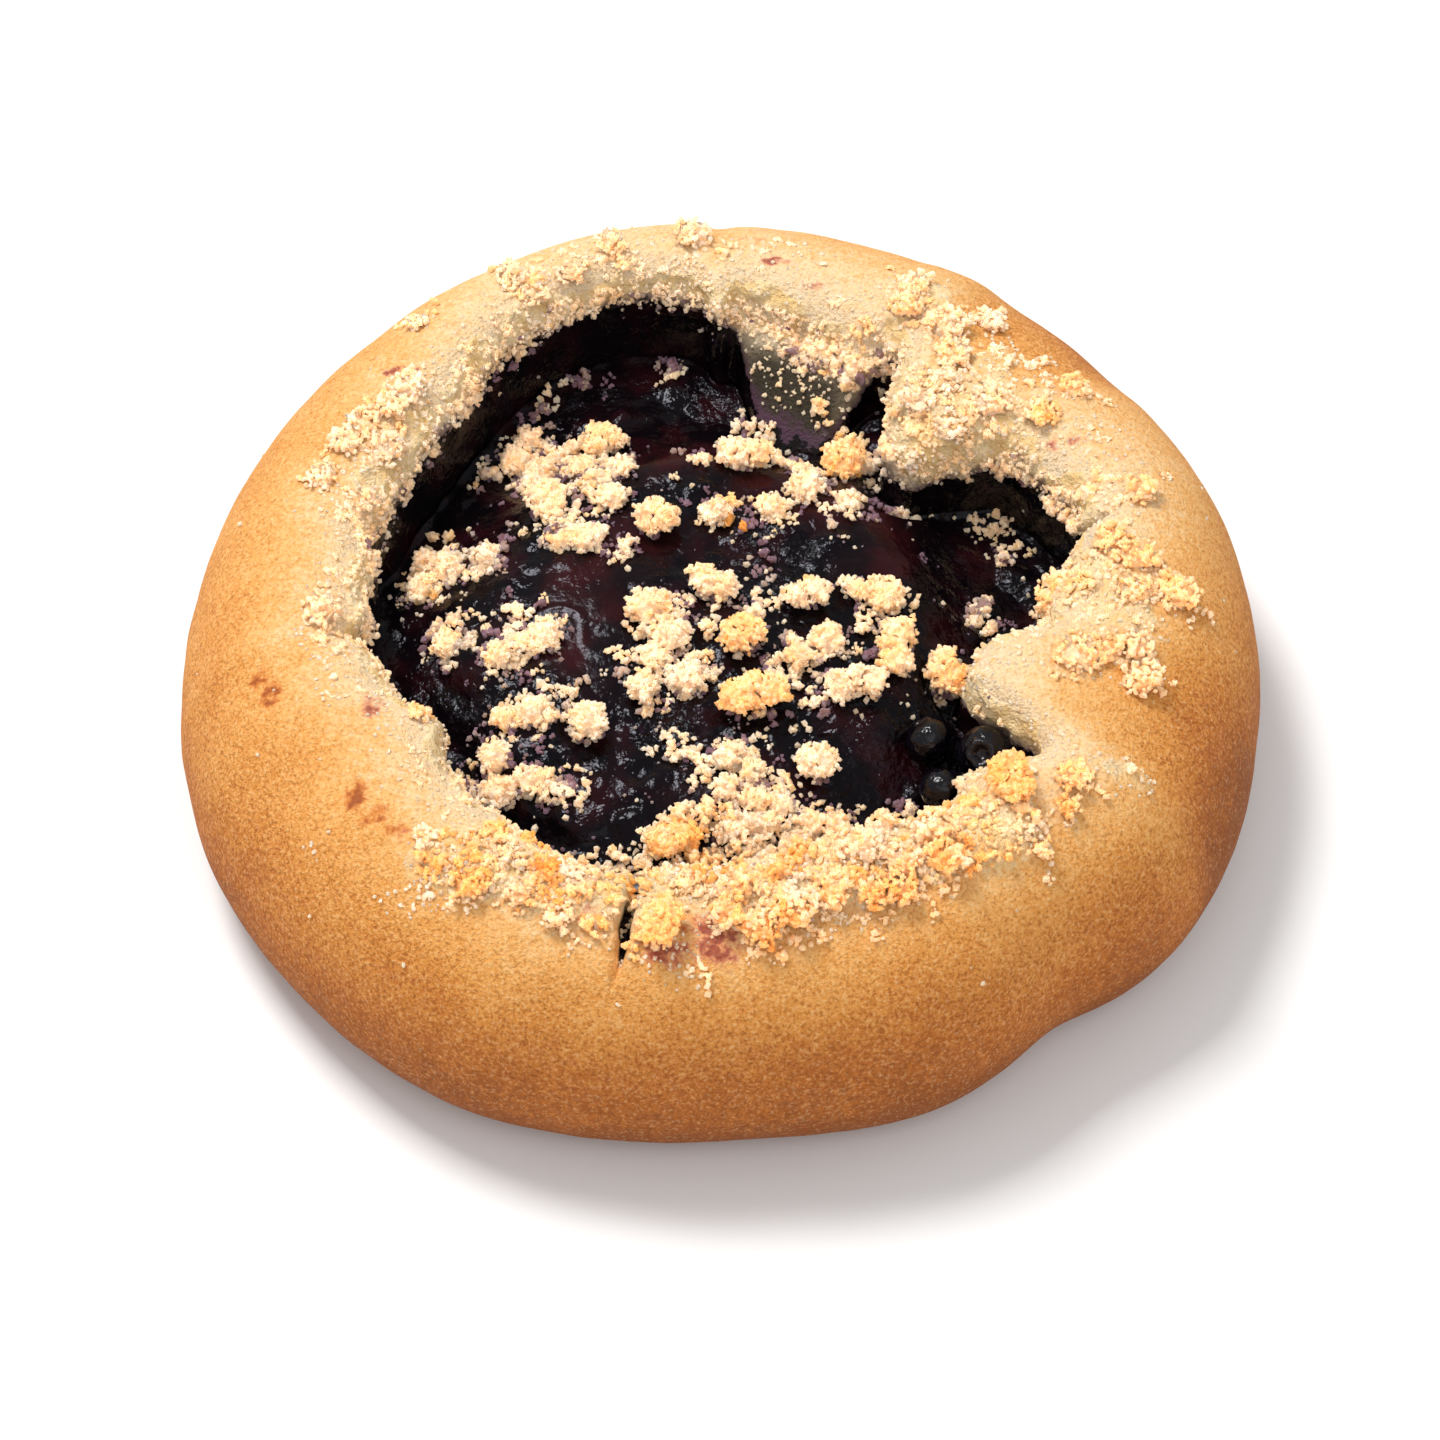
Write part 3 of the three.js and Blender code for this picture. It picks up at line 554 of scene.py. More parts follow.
# %% Rings of the filling
SPREAD, TOP_RINGS = 420, 124  # points in each ring, and rings inside the edge
OVERLAP = 0.15  # how far the edge reaches into the dough
spread_az = np.arange(SPREAD) * 360 / SPREAD
turn = np.radians(spread_az)
edge, edge_level = edge_radius(spread_az), moat_height(spread_az)


def ring_of(r, z):
    return np.stack([r * np.cos(turn), r * np.sin(turn), z], -1)


low_rings = []
for share in (0.0, 0.35, 0.7, 0.94):  # the hidden wall, from the floor to under the edge
    z = mix(FLOOR + GAP, edge_level, share)
    low_rings.append(ring_of(wall_radius(spread_az, z - GAP) - GAP, z))
top_rings = []
for share in np.concatenate([[1.0], np.linspace(0.995, 0.03, TOP_RINGS)]):
    x, y = edge * share * np.cos(turn), edge * share * np.sin(turn)
    z = mix(filling_height(x, y), edge_level, smooth(share, 0.85, 1))
    top_rings.append(ring_of(edge * share + (GAP + OVERLAP) * smooth(share, 0.95, 1), z))
pool = np.array(low_rings + top_rings)
px, py = pool[..., 0], pool[..., 1]
is_top = (np.arange(len(pool)) >= len(low_rings))[:, None]
print("the filling has", len(pool), "rings")

# %% [markdown]
# Under the upper side berries lie as bumps, some of them wrinkled. In a few places a smooth skin
# of dried syrup covers them, and in others syrup has stayed wet and glints. The edge creeps
# up where it touches the dough, as a thick liquid does.

# %% Bumps, skins and wet patches
# Smooth skins: middle x, y, half sizes, strength.
SKINS = [
    (-13.5, -3.0, 5.5, 11.0, 1.0), (-10.5, 6.0, 5.0, 6.0, 0.9), (-4.0, 20.5, 8.0, 5.0, 1.0),
    (6.0, 14.5, 7.0, 4.5, 0.9), (14.5, 13.0, 7.5, 5.5, 1.0), (15.5, 4.0, 5.0, 4.0, 0.8),
    (-1.5, -24.5, 4.5, 4.0, 0.9), (-17.0, 19.0, 3.0, 3.0, 0.5),
]
# Wet patches, where wrinkled syrup glints: middle x, y, half sizes, strength.
WET = [
    (11.5, 13.2, 5.0, 3.2, 1.0), (-4.5, -13.0, 4.5, 4.0, 0.8), (19.0, -14.5, 8.0, 6.5, 1.0),
    (0.5, 33.5, 4.5, 4.5, 0.9), (-29.0, -6.0, 3.0, 7.0, 0.8), (-14.0, 5.0, 3.5, 5.0, 0.6),
    (28.0, 8.0, 4.0, 6.0, 0.6), (8.5, 1.5, 5.0, 3.5, 0.6), (-24.0, -13.0, 4.0, 5.0, 0.7),
    (-8.0, -31.5, 3.5, 4.0, 0.5), (5.0, 6.5, 6.0, 3.0, 0.6), (20.0, 2.5, 3.0, 4.0, 0.5),
]
BUMPS, BUMP_REACH = 230, 37  # berries and burst skins, and how far from the middle they go

skinned = np.clip(patches(SKINS, px, py) + 0.25 * noise(pool, 3.0, 41), 0, 1)
rough = 1 - skinned
bumps = np.zeros(px.shape)
for _ in range(BUMPS):
    # The direction is read as radians, many turns of them, so it is as even as a single turn.
    way, out = random.uniform(0, 360), BUMP_REACH * math.sqrt(random.uniform(0, 1))
    size, rise = random.uniform(1.3, 2.9), random.uniform(0.25, 0.75)
    far = np.hypot(px - out * math.cos(way), py - out * math.sin(way)) / size
    bumps = np.maximum(bumps, rise * np.clip(1 - far**2, 0, 1) ** 0.8)
relief = bumps * (0.10 + 0.90 * rough) + 0.35 * layered(pool, 5.0, 45, 2) * (0.5 + 0.5 * rough)
relief += rough * (0.20 * noise(pool, 1.7, 46) + 0.10 * noise(pool, 0.8, 47))
crease = 1 - np.abs(noise(pool + 1.5 * noise(pool, 4, 49)[..., None], 4.2, 48))
relief += 0.10 * smooth(crease, 0.86, 1.0) * skinned

from_middle = np.hypot(px, py)
creep = 0.3 + 0.35 * noise(pool, 1.8, 51)
creep = creep * np.exp(-np.maximum(0, edge + GAP - from_middle) / 0.7)
pool[..., 2] += is_top * (relief * smooth(from_middle, edge, edge - 1.5) + creep)
wet = np.clip(patches(WET, px, py) + 0.3 * noise(pool, 2.2, 50), 0, 1)

filling_flat = closed(pool, [0, 0, FLOOR + GAP], pool[-1].mean(0))
filling_triangles = grid_triangles(len(pool), SPREAD)
jam_values = {k: with_tips(v, 0, v[-1, -1]) for k, v in (("skin", skinned), ("wet", wet))}
filling = make_mesh("berry_filling", filling_flat, filling_triangles, jam_values)

# %% [markdown]
# ## Dropping crumbs on a surface
#
# Crumbs have to touch what they lie on. A bounding volume tree of the bun and the filling answers
# the question where a ray from above meets them, so each crumb is dropped on to the finished
# surface. The ray also gives the surface's normal, along which a crumb sinks in.

# %% A tree of both surfaces
ground_points = np.concatenate([bun_flat, filling_flat])
ground_triangles = np.concatenate([bun_triangles, filling_triangles + len(bun_flat)])
ground = BVHTree.FromPolygons(ground_points.tolist(), ground_triangles.tolist())
RAY_START = 60  # height from which rays fall, above everything


def drop(x, y):
    """Where rays from above meet the surfaces: places, normals, and whether it is the filling."""
    places, ups, jam = [], [], []
    for x_, y_ in zip(x, y):
        hit, up, face, _ = ground.ray_cast(Vector((x_, y_, RAY_START)), Vector((0, 0, -1)))
        places.append(hit if hit else (x_, y_, 0))
        ups.append(up if hit else (0, 0, 1))
        jam.append(bool(hit) and face >= len(bun_triangles))
    places, ups = (np.array(rows, float).reshape(-1, 3) for rows in (places, ups))
    return places, ups, np.array(jam)


def lifted(places, ups, size, low, high):
    """Places moved along their normals by a random share of each size."""
    return places + ups * (size * random.uniform(low, high, len(size)))[:, None]


print("a crumb dropped in the middle lies at", drop([0], [0])[0][0, 2].round(2), "mm")

# %% [markdown]
# ## Grains
#
# Crumble is flour, sugar and butter rubbed into grains of half a millimetre, which cling together
# in ragged clusters. A grain here is a twisted box of eight uneven corners with flat faces, since
# a broken crumb has edges.

# %% Prototypes of a grain
PROTOTYPES = 90


def twisted_box(half_height=0.62):
    """Two squares, the lower one turned by half a side, with triangles between them."""
    turn = np.radians(np.arange(4) * 90)
    squares = [
        np.stack([np.cos(turn + twist), np.sin(turn + twist), np.full(4, z)], -1)
        for twist, z in ((0, half_height), (np.pi / 4, -half_height))
    ]
    faces = [(0, 1, 2), (0, 2, 3), (4, 6, 5), (4, 7, 6)]
    for i in range(4):
        after = (i + 1) % 4
        faces += [(i, 4 + i, after), (4 + i, 4 + after, after)]
    corners = np.concatenate(squares)
    return corners / np.linalg.norm(corners[0]), np.array(faces)


grain_corners, grain_faces = twisted_box()
GRAINS = grain_corners * random.uniform(0.70, 1.30, (PROTOTYPES, len(grain_corners), 1))
print("a grain has", len(grain_faces), "faces")

# %% [markdown]
# Prototypes are turned and scaled at random and written into one mesh, which is far lighter than
# thousands of objects. Each grain carries two values for its colour: how toasted it is and
# how far juice has soaked it.

# %% A collector of grains
CLUSTER_REACH, GRAIN_SHARE = (0.12, 0.44), (0.36, 0.60)  # of a cluster's size
GRAIN_LIMITS = (0.3, 0.85)  # smallest and largest grain of a cluster


class Crumble:
    """Grains gathered for one mesh."""

    def __init__(self):
        self.points, self.faces, self.toast, self.soak, self.count = [], [], [], [], 0

    def grains(self, middles, sizes, toast, soak):
        """One copy of a random prototype at each middle, that many millimetres across."""
        n, corners = len(middles), len(grain_corners)
        body = GRAINS[random.integers(0, len(GRAINS), n)] * random.uniform(0.75, 1.25, (n, 1, 3))
        spin = np.linalg.qr(random.normal(size=(n, 3, 3)))[0]
        spin *= np.sign(np.linalg.det(spin))[:, None, None]
        body = np.einsum("nij,nkj->nki", spin, body) * np.broadcast_to(sizes, n)[:, None, None] / 2
        firsts = self.count + np.arange(n)[:, None, None] * corners
        self.points.append((body + np.asarray(middles)[:, None]).reshape(-1, 3))
        self.faces.append((grain_faces[None] + firsts).reshape(-1, 3))
        self.toast.append(np.repeat(np.broadcast_to(toast, n), corners))
        self.soak.append(np.repeat(np.broadcast_to(soak, n), corners))
        self.count += n * corners

    def clusters(self, middles, sizes, toast, soak, each=7):
        """Ragged clusters: a few grains crowded round each middle."""
        n = len(middles)
        middles, sizes, toast, soak = (
            np.repeat(np.broadcast_to(v, (n,) + np.shape(v)[1:]), each, axis=0)
            for v in (middles, sizes, toast, soak)
        )
        way = random.normal(size=middles.shape)
        way /= np.linalg.norm(way, axis=1, keepdims=True)
        reach = random.uniform(*CLUSTER_REACH, len(sizes)) * sizes
        across = random.uniform(*GRAIN_SHARE, len(sizes)) * sizes
        tone = np.clip(toast + random.normal(0, 0.07, len(toast)), 0, 1)
        self.grains(middles + way * reach[:, None], np.clip(across, *GRAIN_LIMITS), tone, soak)

    def core(self, points, toast):
        """Triangles as they are, three points each, dry and all of one tone."""
        self.points.append(points)
        self.faces.append(np.arange(len(points)).reshape(-1, 3) + self.count)
        self.toast.append(np.full(len(points), float(toast)))
        self.soak.append(np.zeros(len(points)))
        self.count += len(points)

    def build(self, name):
        data = {"toast": np.concatenate(self.toast), "soak": np.concatenate(self.soak)}
        return make_mesh(name, np.concatenate(self.points), np.concatenate(self.faces), data, False)


# %% [markdown]
# ## Lumps as the CAD has them
#
# The CAD part gives the large lumps as solids of their own and fuses smaller clumps to the bun
# and the filling. To keep their form, grains are spread over the CAD faces themselves: a
# few knobs pressed half into the surface, small grains between them, and the CAD faces, drawn
# in a little, as a core behind.

# %% Faces of a CAD node, and grains over faces
def node_faces(name):
    """The triangles of a CAD node in drawn millimetres, three corners each."""
    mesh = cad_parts[name].data
    points = np.zeros(len(mesh.vertices) * 3, np.float32)
    mesh.vertices.foreach_get("co", points)
    mesh.calc_loop_triangles()
    faces = np.zeros(len(mesh.loop_triangles) * 3, np.int32)
    mesh.loop_triangles.foreach_get("vertices", faces)
    return points.reshape(-1, 3).astype(float)[faces.reshape(-1, 3)] / MM


def face_normals(faces):
    normal = np.cross(faces[:, 1] - faces[:, 0], faces[:, 2] - faces[:, 0])
    area = np.linalg.norm(normal, axis=1)
    return normal / np.maximum(area, 1e-9)[:, None], area / 2


def spread_over(faces, density, least):
    """Random places on faces, that many per square millimetre, with their normals."""
    normal, area = face_normals(faces)
    up = area * (normal[:, 2] > -0.35)  # undersides stay bare
    count = max(least, int(up.sum() * density))
    pick = random.choice(len(faces), count, p=up / up.sum())
    u, v = random.uniform(0, 1, (2, count, 1))
    flip = u + v > 1
    u, v = np.where(flip, 1 - u, u), np.where(flip, 1 - v, v)
    chosen = faces[pick]
    return mix(chosen[:, 0], chosen[:, 1], u) + (chosen[:, 2] - chosen[:, 0]) * v, normal[pick]


def cover(crumble, faces, toast, soak_height, densities, inset=0.25):
    """Clusters and grains over faces, at two densities, and the faces drawn in as a core."""
    normal, _ = face_normals(faces)
    crumble.core((faces - normal[:, None] * inset).reshape(-1, 3), toast)
    for density, sizes, sink, kind in (
        (densities[0], (0.75, 1.4), (-0.15, 0.4), crumble.clusters),
        (densities[1], (0.36, 0.70), (-0.3, 0.4), crumble.grains),
    ):
        places, ups = spread_over(faces, density, 3)
        n = len(places)
        size = random.uniform(*sizes, n)
        tone = toast + 0.22 * noise(places, 2.4, 61) + random.normal(0, 0.06, n)
        soak = np.zeros(n)
        if soak_height is not None:
            above = places[:, 2] - filling_height(places[:, 0], places[:, 1])
            damp = smooth(above + 0.5 * noise(places, 1.3, 62), soak_height, -0.3)
            soak = damp * random.uniform(0.3, 1, n)
        depth = size * random.uniform(*sink, n)
        places = places - ups * depth[:, None] + random.normal(0, 0.16, places.shape)
        kind(places, size, np.clip(tone, 0, 1), soak)


lump_nodes = sorted(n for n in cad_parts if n.startswith("crumble_lump"))
print("loose lumps in the CAD:", len(lump_nodes))

# %% [markdown]
# The loose lumps differ in colour, from cream to orange, so each has a value of its own. A lump
# that lies low rests on the filling and has soaked up juice from below. Crumbs are dropped under
# each lump as well, so that it doesn't seem to stand on a point.

# %% The loose lumps
LUMP_TOAST = [
    0.62, 0.34, 0.10, 0.28, 0.42, 0.80, 0.66, 0.20, 0.14, 0.55, 0.62, 0.50, 0.42, 0.32, 0.10, 0.28,
    0.05, 0.12,
]
ON_JAM = 25.5  # lumps with a middle below this height lie on the filling
lumps = Crumble()
for name, toast in zip(lump_nodes, LUMP_TOAST):
    faces = node_faces(name)
    soak_height = 0.75 if faces[..., 2].mean() < ON_JAM else None
    cover(lumps, faces, 0.75 * toast, soak_height, (0.8, 4.5))
    middle = faces.mean((0, 1))
    spots = middle + 0.85 * (random.choice(faces.mean(1), 60) - middle)
    places, ups, jam = drop(spots[:, 0], spots[:, 1])
    size = random.uniform(0.5, 0.95, len(places))
    soak = jam * random.uniform(0.2, 1, len(places))
    lift = random.uniform(0.0, 0.7, len(places))
    lumps.grains(places + ups * lift[:, None], size, 0.5 * toast, soak)
crumble_lumps = lumps.build("crumble_lumps")

# %% [markdown]
# Clumps that the CAD fused to the bun and the filling are found again as the faces that stand
# proud of the smooth surface. On the wall of the hollow "proud" is measured square to the slope.

# %% Finding the fused clumps
def proud_faces(name, stand_off, least):
    faces = node_faces(name)
    proud = stand_off(faces.reshape(-1, 3)).reshape(-1, 3)
    return faces[(proud.max(1) > least) & (proud.min(1) > -0.5 * least)]


def above_dough(p):
    """How far points stand out from the smooth dough; 0 on the lower flank."""
    a, r = polar(p[:, 0], p[:, 1])
    up = p[:, 2] - dough_height(a, r)
    inward = np.maximum(wall_radius(a, p[:, 2]) - r, 0)
    steep = up * inward / np.maximum(np.hypot(up, inward), 1e-6)
    return np.where(r < lip_radius(a), steep, up * 0.8) * (p[:, 2] > WIDEST_AT + 2)


def above_filling(p):
    a, r = polar(p[:, 0], p[:, 1])
    settled = smooth(r / edge_radius(a), 0.85, 1)
    surface = mix(filling_height(p[:, 0], p[:, 1]), moat_height(a), settled)
    return (p[:, 2] - surface) * (r < edge_radius(a) - 0.3)


on_bun = proud_faces("bun", above_dough, 0.45)
on_filling = proud_faces("filling", above_filling, 0.75)
print("clump faces on the bun:", len(on_bun), "and on the filling:", len(on_filling))

# %% [markdown]
# The clumps on the bun are covered in five runs, from the palest to the most toasted, since the
# core behind the grains has one tone for each run. They are most toasted at the front.

# %% The fused clumps
TONE_STEPS = (0, 0.2, 0.3, 0.42, 0.6, 1)
bun_clumps, filling_clumps = Crumble(), Crumble()
middle = on_bun.mean(1)
at_front = smooth(middle[:, 1], -22, -32)
bun_toast = 0.19 + 0.10 * layered(middle, 7, 63)
bun_toast += at_front * (0.24 + 0.40 * layered(middle, 4, 60))
bun_toast += 0.14 * smooth(middle[:, 0], 25, 38)
bun_toast = np.clip(bun_toast, 0.05, 0.9)
for low, high in zip(TONE_STEPS, TONE_STEPS[1:]):
    part = on_bun[(bun_toast >= low) & (bun_toast < high)]
    if len(part):
        cover(bun_clumps, part, min(0.7, (low + high) / 2), None, (0.45, 3.6), 0.6)
cover(filling_clumps, on_filling, 0.14, 0.9, (0.7, 4.0))
clumps_on_bun = bun_clumps.build("crumble_clumps_on_bun")
clumps_on_filling = filling_clumps.build("crumble_clumps_on_filling")

# %% [markdown]
# ## Heaps and loose crumbs
#
# Between the clumps lies finer crumble. In the heaps it is a carpet two or three grains deep, on
# the rest of the rim it thins out in patches, and on the filling single grains lie about,
# many of them soaked dark with juice. Candidates are drawn at random and kept or thrown
# away by the density of their place, which puts them exactly where the fields say.

# %% Ways to strew crumbs
def scatter(count, box, density):
    """Random places in a box (x, y, half x, half y), kept with the chance that density gives."""
    x = box[0] + box[2] * random.uniform(-1, 1, count)
    y = box[1] + box[3] * random.uniform(-1, 1, count)
    keep = random.uniform(0, 1, count) < density(x, y)
    return x[keep], y[keep]


def flat_places(x, y):
    return np.stack([x, y, 0 * x], -1)


def chains(crumble, x, y, steps, sizes, toast, soak, on_jam):
    """Ragged strings of grains: each starts at a place and wanders over the surface from there."""
    heading = random.uniform(0, 2 * math.pi, len(x))
    girth = random.uniform(*sizes, len(x))
    for _ in range(steps):
        aside = random.normal(0, 0.25, (2, len(x)))
        places, ups, jam = drop(x + aside[0], y + aside[1])
        keep = (jam == on_jam) & (random.uniform(0, 1, len(x)) < 0.85)
        size = girth[keep] * random.uniform(0.65, 1.25, keep.sum())
        spots = lifted(places[keep], ups[keep], size, -0.1, 0.55)
        tone = np.clip(toast[keep] + random.normal(0, 0.07, len(size)), 0, 1)
        crumble.grains(spots, size, tone, soak[keep])
        heading += random.normal(0, 0.9, len(x))
        x, y = x + 0.42 * girth * np.cos(heading), y + 0.42 * girth * np.sin(heading)


def around(spots, each, near, spread):
    """Places round each spot, most of them close to it."""
    spots = np.repeat(spots, each, axis=0)
    way = random.uniform(0, 2 * math.pi, len(spots))
    far = near + np.abs(random.normal(0, spread, len(spots)))
    return spots[:, 0] + far * np.cos(way), spots[:, 1] + far * np.sin(way)


print("ways to strew crumbs:", ", ".join(way.__name__ for way in (scatter, chains, around)))

# %% [markdown]
# The heaps come first: larger clusters, then many small grains over them. Where a heap spills over
# the lip, the crumbs on the filling are lifted into a low drift.

# %% The heaps
HEAP_BOX = (0, -8, 46, 38)
heaps = Crumble()


def heap_density(x, y):
    piled = np.maximum(patches(HEAPS, x, y), patches(SPILLS, x, y))
    return smooth(piled + 0.25 * noise(flat_places(x, y), 2.4, 68), 0.2, 0.8)


def heap_toast(x, y):
    front = smooth(y, -20, -32)
    uneven = (0.20 + 0.40 * front) * layered(flat_places(x, y), 4, 64)
    return np.clip(0.24 + 0.18 * front + uneven + random.normal(0, 0.05, len(x)), 0, 1)


for count, sizes, lift, kind in (
    (4600, (0.9, 1.7), 0.4, heaps.clusters),
    (24000, (0.36, 0.72), 0.5, heaps.grains),
):
    x, y = scatter(count, HEAP_BOX, heap_density)
    places, ups, jam = drop(x, y)
    size = random.uniform(*sizes, len(x))
    places[:, 2] += jam * patches(SPILLS, x, y) * random.uniform(0.35, 1, len(x))
    kind(lifted(places, ups, lift * size, -0.3, 1), size, heap_toast(x, y), 0.0)
crumble_heaps = heaps.build("crumble_heaps")

# %% [markdown]
# On the rest of the rim crumbs lie thickest by the lip and in the patches of the table above.
# Hardly any stay on the steep wall, and those near it are stained by the juice.

# %% Crumbs on the rim
RIM_BOX, LOWEST_CRUMB, STRAYS = (0, 0, 53, 52), 13, 0.015
rim = Crumble()


def rim_density(x, y):
    p, (a, r) = flat_places(x, y), polar(x, y)
    patchy = smooth(layered(p, 3.2, 65) + 0.15, -0.1, 0.4)
    near_lip = smooth(r - lip_radius(a) + 1.5 * noise(p, 5, 69), 8.0, 1.0) * 0.7
    sprinkled = patches(SPRINKLES, x, y) * (0.15 + 0.85 * patchy) * 0.8
    share = sprinkled + near_lip * (0.35 + 0.65 * patchy) + 0.002
    return np.clip(share, 0, 1) * (r > edge_radius(a))


def rim_tone(places, middle, swing):
    tone = middle + swing * layered(places, 6, 66) + random.normal(0, 0.05, len(places))
    return np.clip(tone, 0, 1)


for count, sizes, power, kind in (
    (58000, (0.32, 0.64), 1.0, rim.grains),
    (5200, (0.8, 1.3), 1.5, rim.clusters),
):
    x, y = scatter(count, RIM_BOX, lambda x, y: rim_density(x, y) ** power)
    places, ups, jam = drop(x, y)
    a, r = polar(x, y)
    past_lip = r - lip_radius(a)
    stray = random.uniform(0, 1, len(x)) < STRAYS
    keep = ~jam & (places[:, 2] > LOWEST_CRUMB) & ((past_lip > -0.3) | stray)
    places, ups, past_lip = places[keep], ups[keep], past_lip[keep]
    size = random.uniform(*sizes, len(places))
    tone = rim_tone(places, 0.17, 0.14)
    stained = smooth(past_lip, 0.7, -0.3) * random.uniform(0.2, 1, len(places))
    kind(lifted(places, ups, size, -0.25, 0.15), size, tone, stained)

# %% [markdown]
# The lip's rounding is too steep to be hit well from above, so its grains are drawn from the bun's
# own points. The chance of a point grows with the spacing of the rings there, or closely
# spaced rings would get too many. Strings of grains then run out round the fused clumps.

# %% Grains on the lip
# Parts of the lip with few crumbs.
SMOOTH_LIP = [(338, 16, 0.9, 4), (205, 14, 0.5, 4), (165, 20, 0.3, 4)]


def draw_points(chance, count):
    """Points of the bun drawn by chance: their numbers, places and normals."""
    picks = random.choice(chance.size, count, p=chance.ravel() / chance.sum())
    return picks, bun_points.reshape(-1, 3)[picks], normals.reshape(-1, 3)[picks]


spacing = np.linalg.norm(np.gradient(skin, axis=0), axis=-1)
spacing = spacing * (1 - lobes(SMOOTH_LIP, azimuth))
fringe = (outward > -1.4 - 0.7 * coat_line(azimuth)) & (outward < 2.5)
patchy = 0.4 + 0.6 * smooth(layered(skin, 3.0, 70), -0.2, 0.3)
chance = fringe * spacing * (0.3 + crumbly) * patchy
chance = chance * smooth(outward + 0.7 * coat_line(azimuth), -1.3, 0.3)
picks, places, ups = draw_points(chance, 4600)
places = places + random.normal(0, 0.12, places.shape)
size = random.uniform(0.32, 0.66, len(places))
above_coat = (outward + 0.8 * coat_line(azimuth)).ravel()[picks]
stained = smooth(above_coat, 0.9, -0.9) * random.uniform(0.2, 1, len(places))
tone = rim_tone(places, 0.20, 0.18)
rim.grains(lifted(places, ups, size, -0.2, 0.2), size, tone, stained)

x, y = around(on_bun.mean(1)[::12, :2], 3, 0.6, 1.5)
string_tone = 0.32 + 0.2 * layered(flat_places(x, y), 6, 66)
chains(rim, x, y, 7, (0.42, 0.80), string_tone, 0 * x, False)
crumble_rim = rim.build("crumble_rim")

# %% [markdown]
# Small clumps hang on the lip itself and make its line ragged. They leave out the lowest stretch
# of the lip at the front, and lie thickest at the back right.

# %% Clumps on the lip
edge_crumbs = Crumble()
ledge = (outward > -1.6) & (outward < 1.0) & (lip_height(azimuth) > 22)
chance = ledge * spacing * smooth(layered(skin, 3.4, 72), 0.0, 0.28)
off_right = np.abs((azimuth - 30 + 180) % 360 - 180)
chance = chance * (0.35 + 0.65 * smooth(off_right, 70, 40))
picks, places, ups = draw_points(chance, 560)
size = random.uniform(0.8, 1.6, len(places))
stained = smooth(outward.ravel()[picks], 0.2, -1.6) * random.uniform(0.2, 0.9, len(places))
edge_crumbs.clusters(lifted(places, ups, size, -0.1, 0.35), size, 0.2, stained, 6)
crumble_lip_edge = edge_crumbs.build("crumble_lip_edge")

# %% [markdown]
# Smaller clumps that stand out in the photograph get places of their own. Each is a ragged little
# heap: a few clusters of grains dropped inside a circle, and raised in its middle.

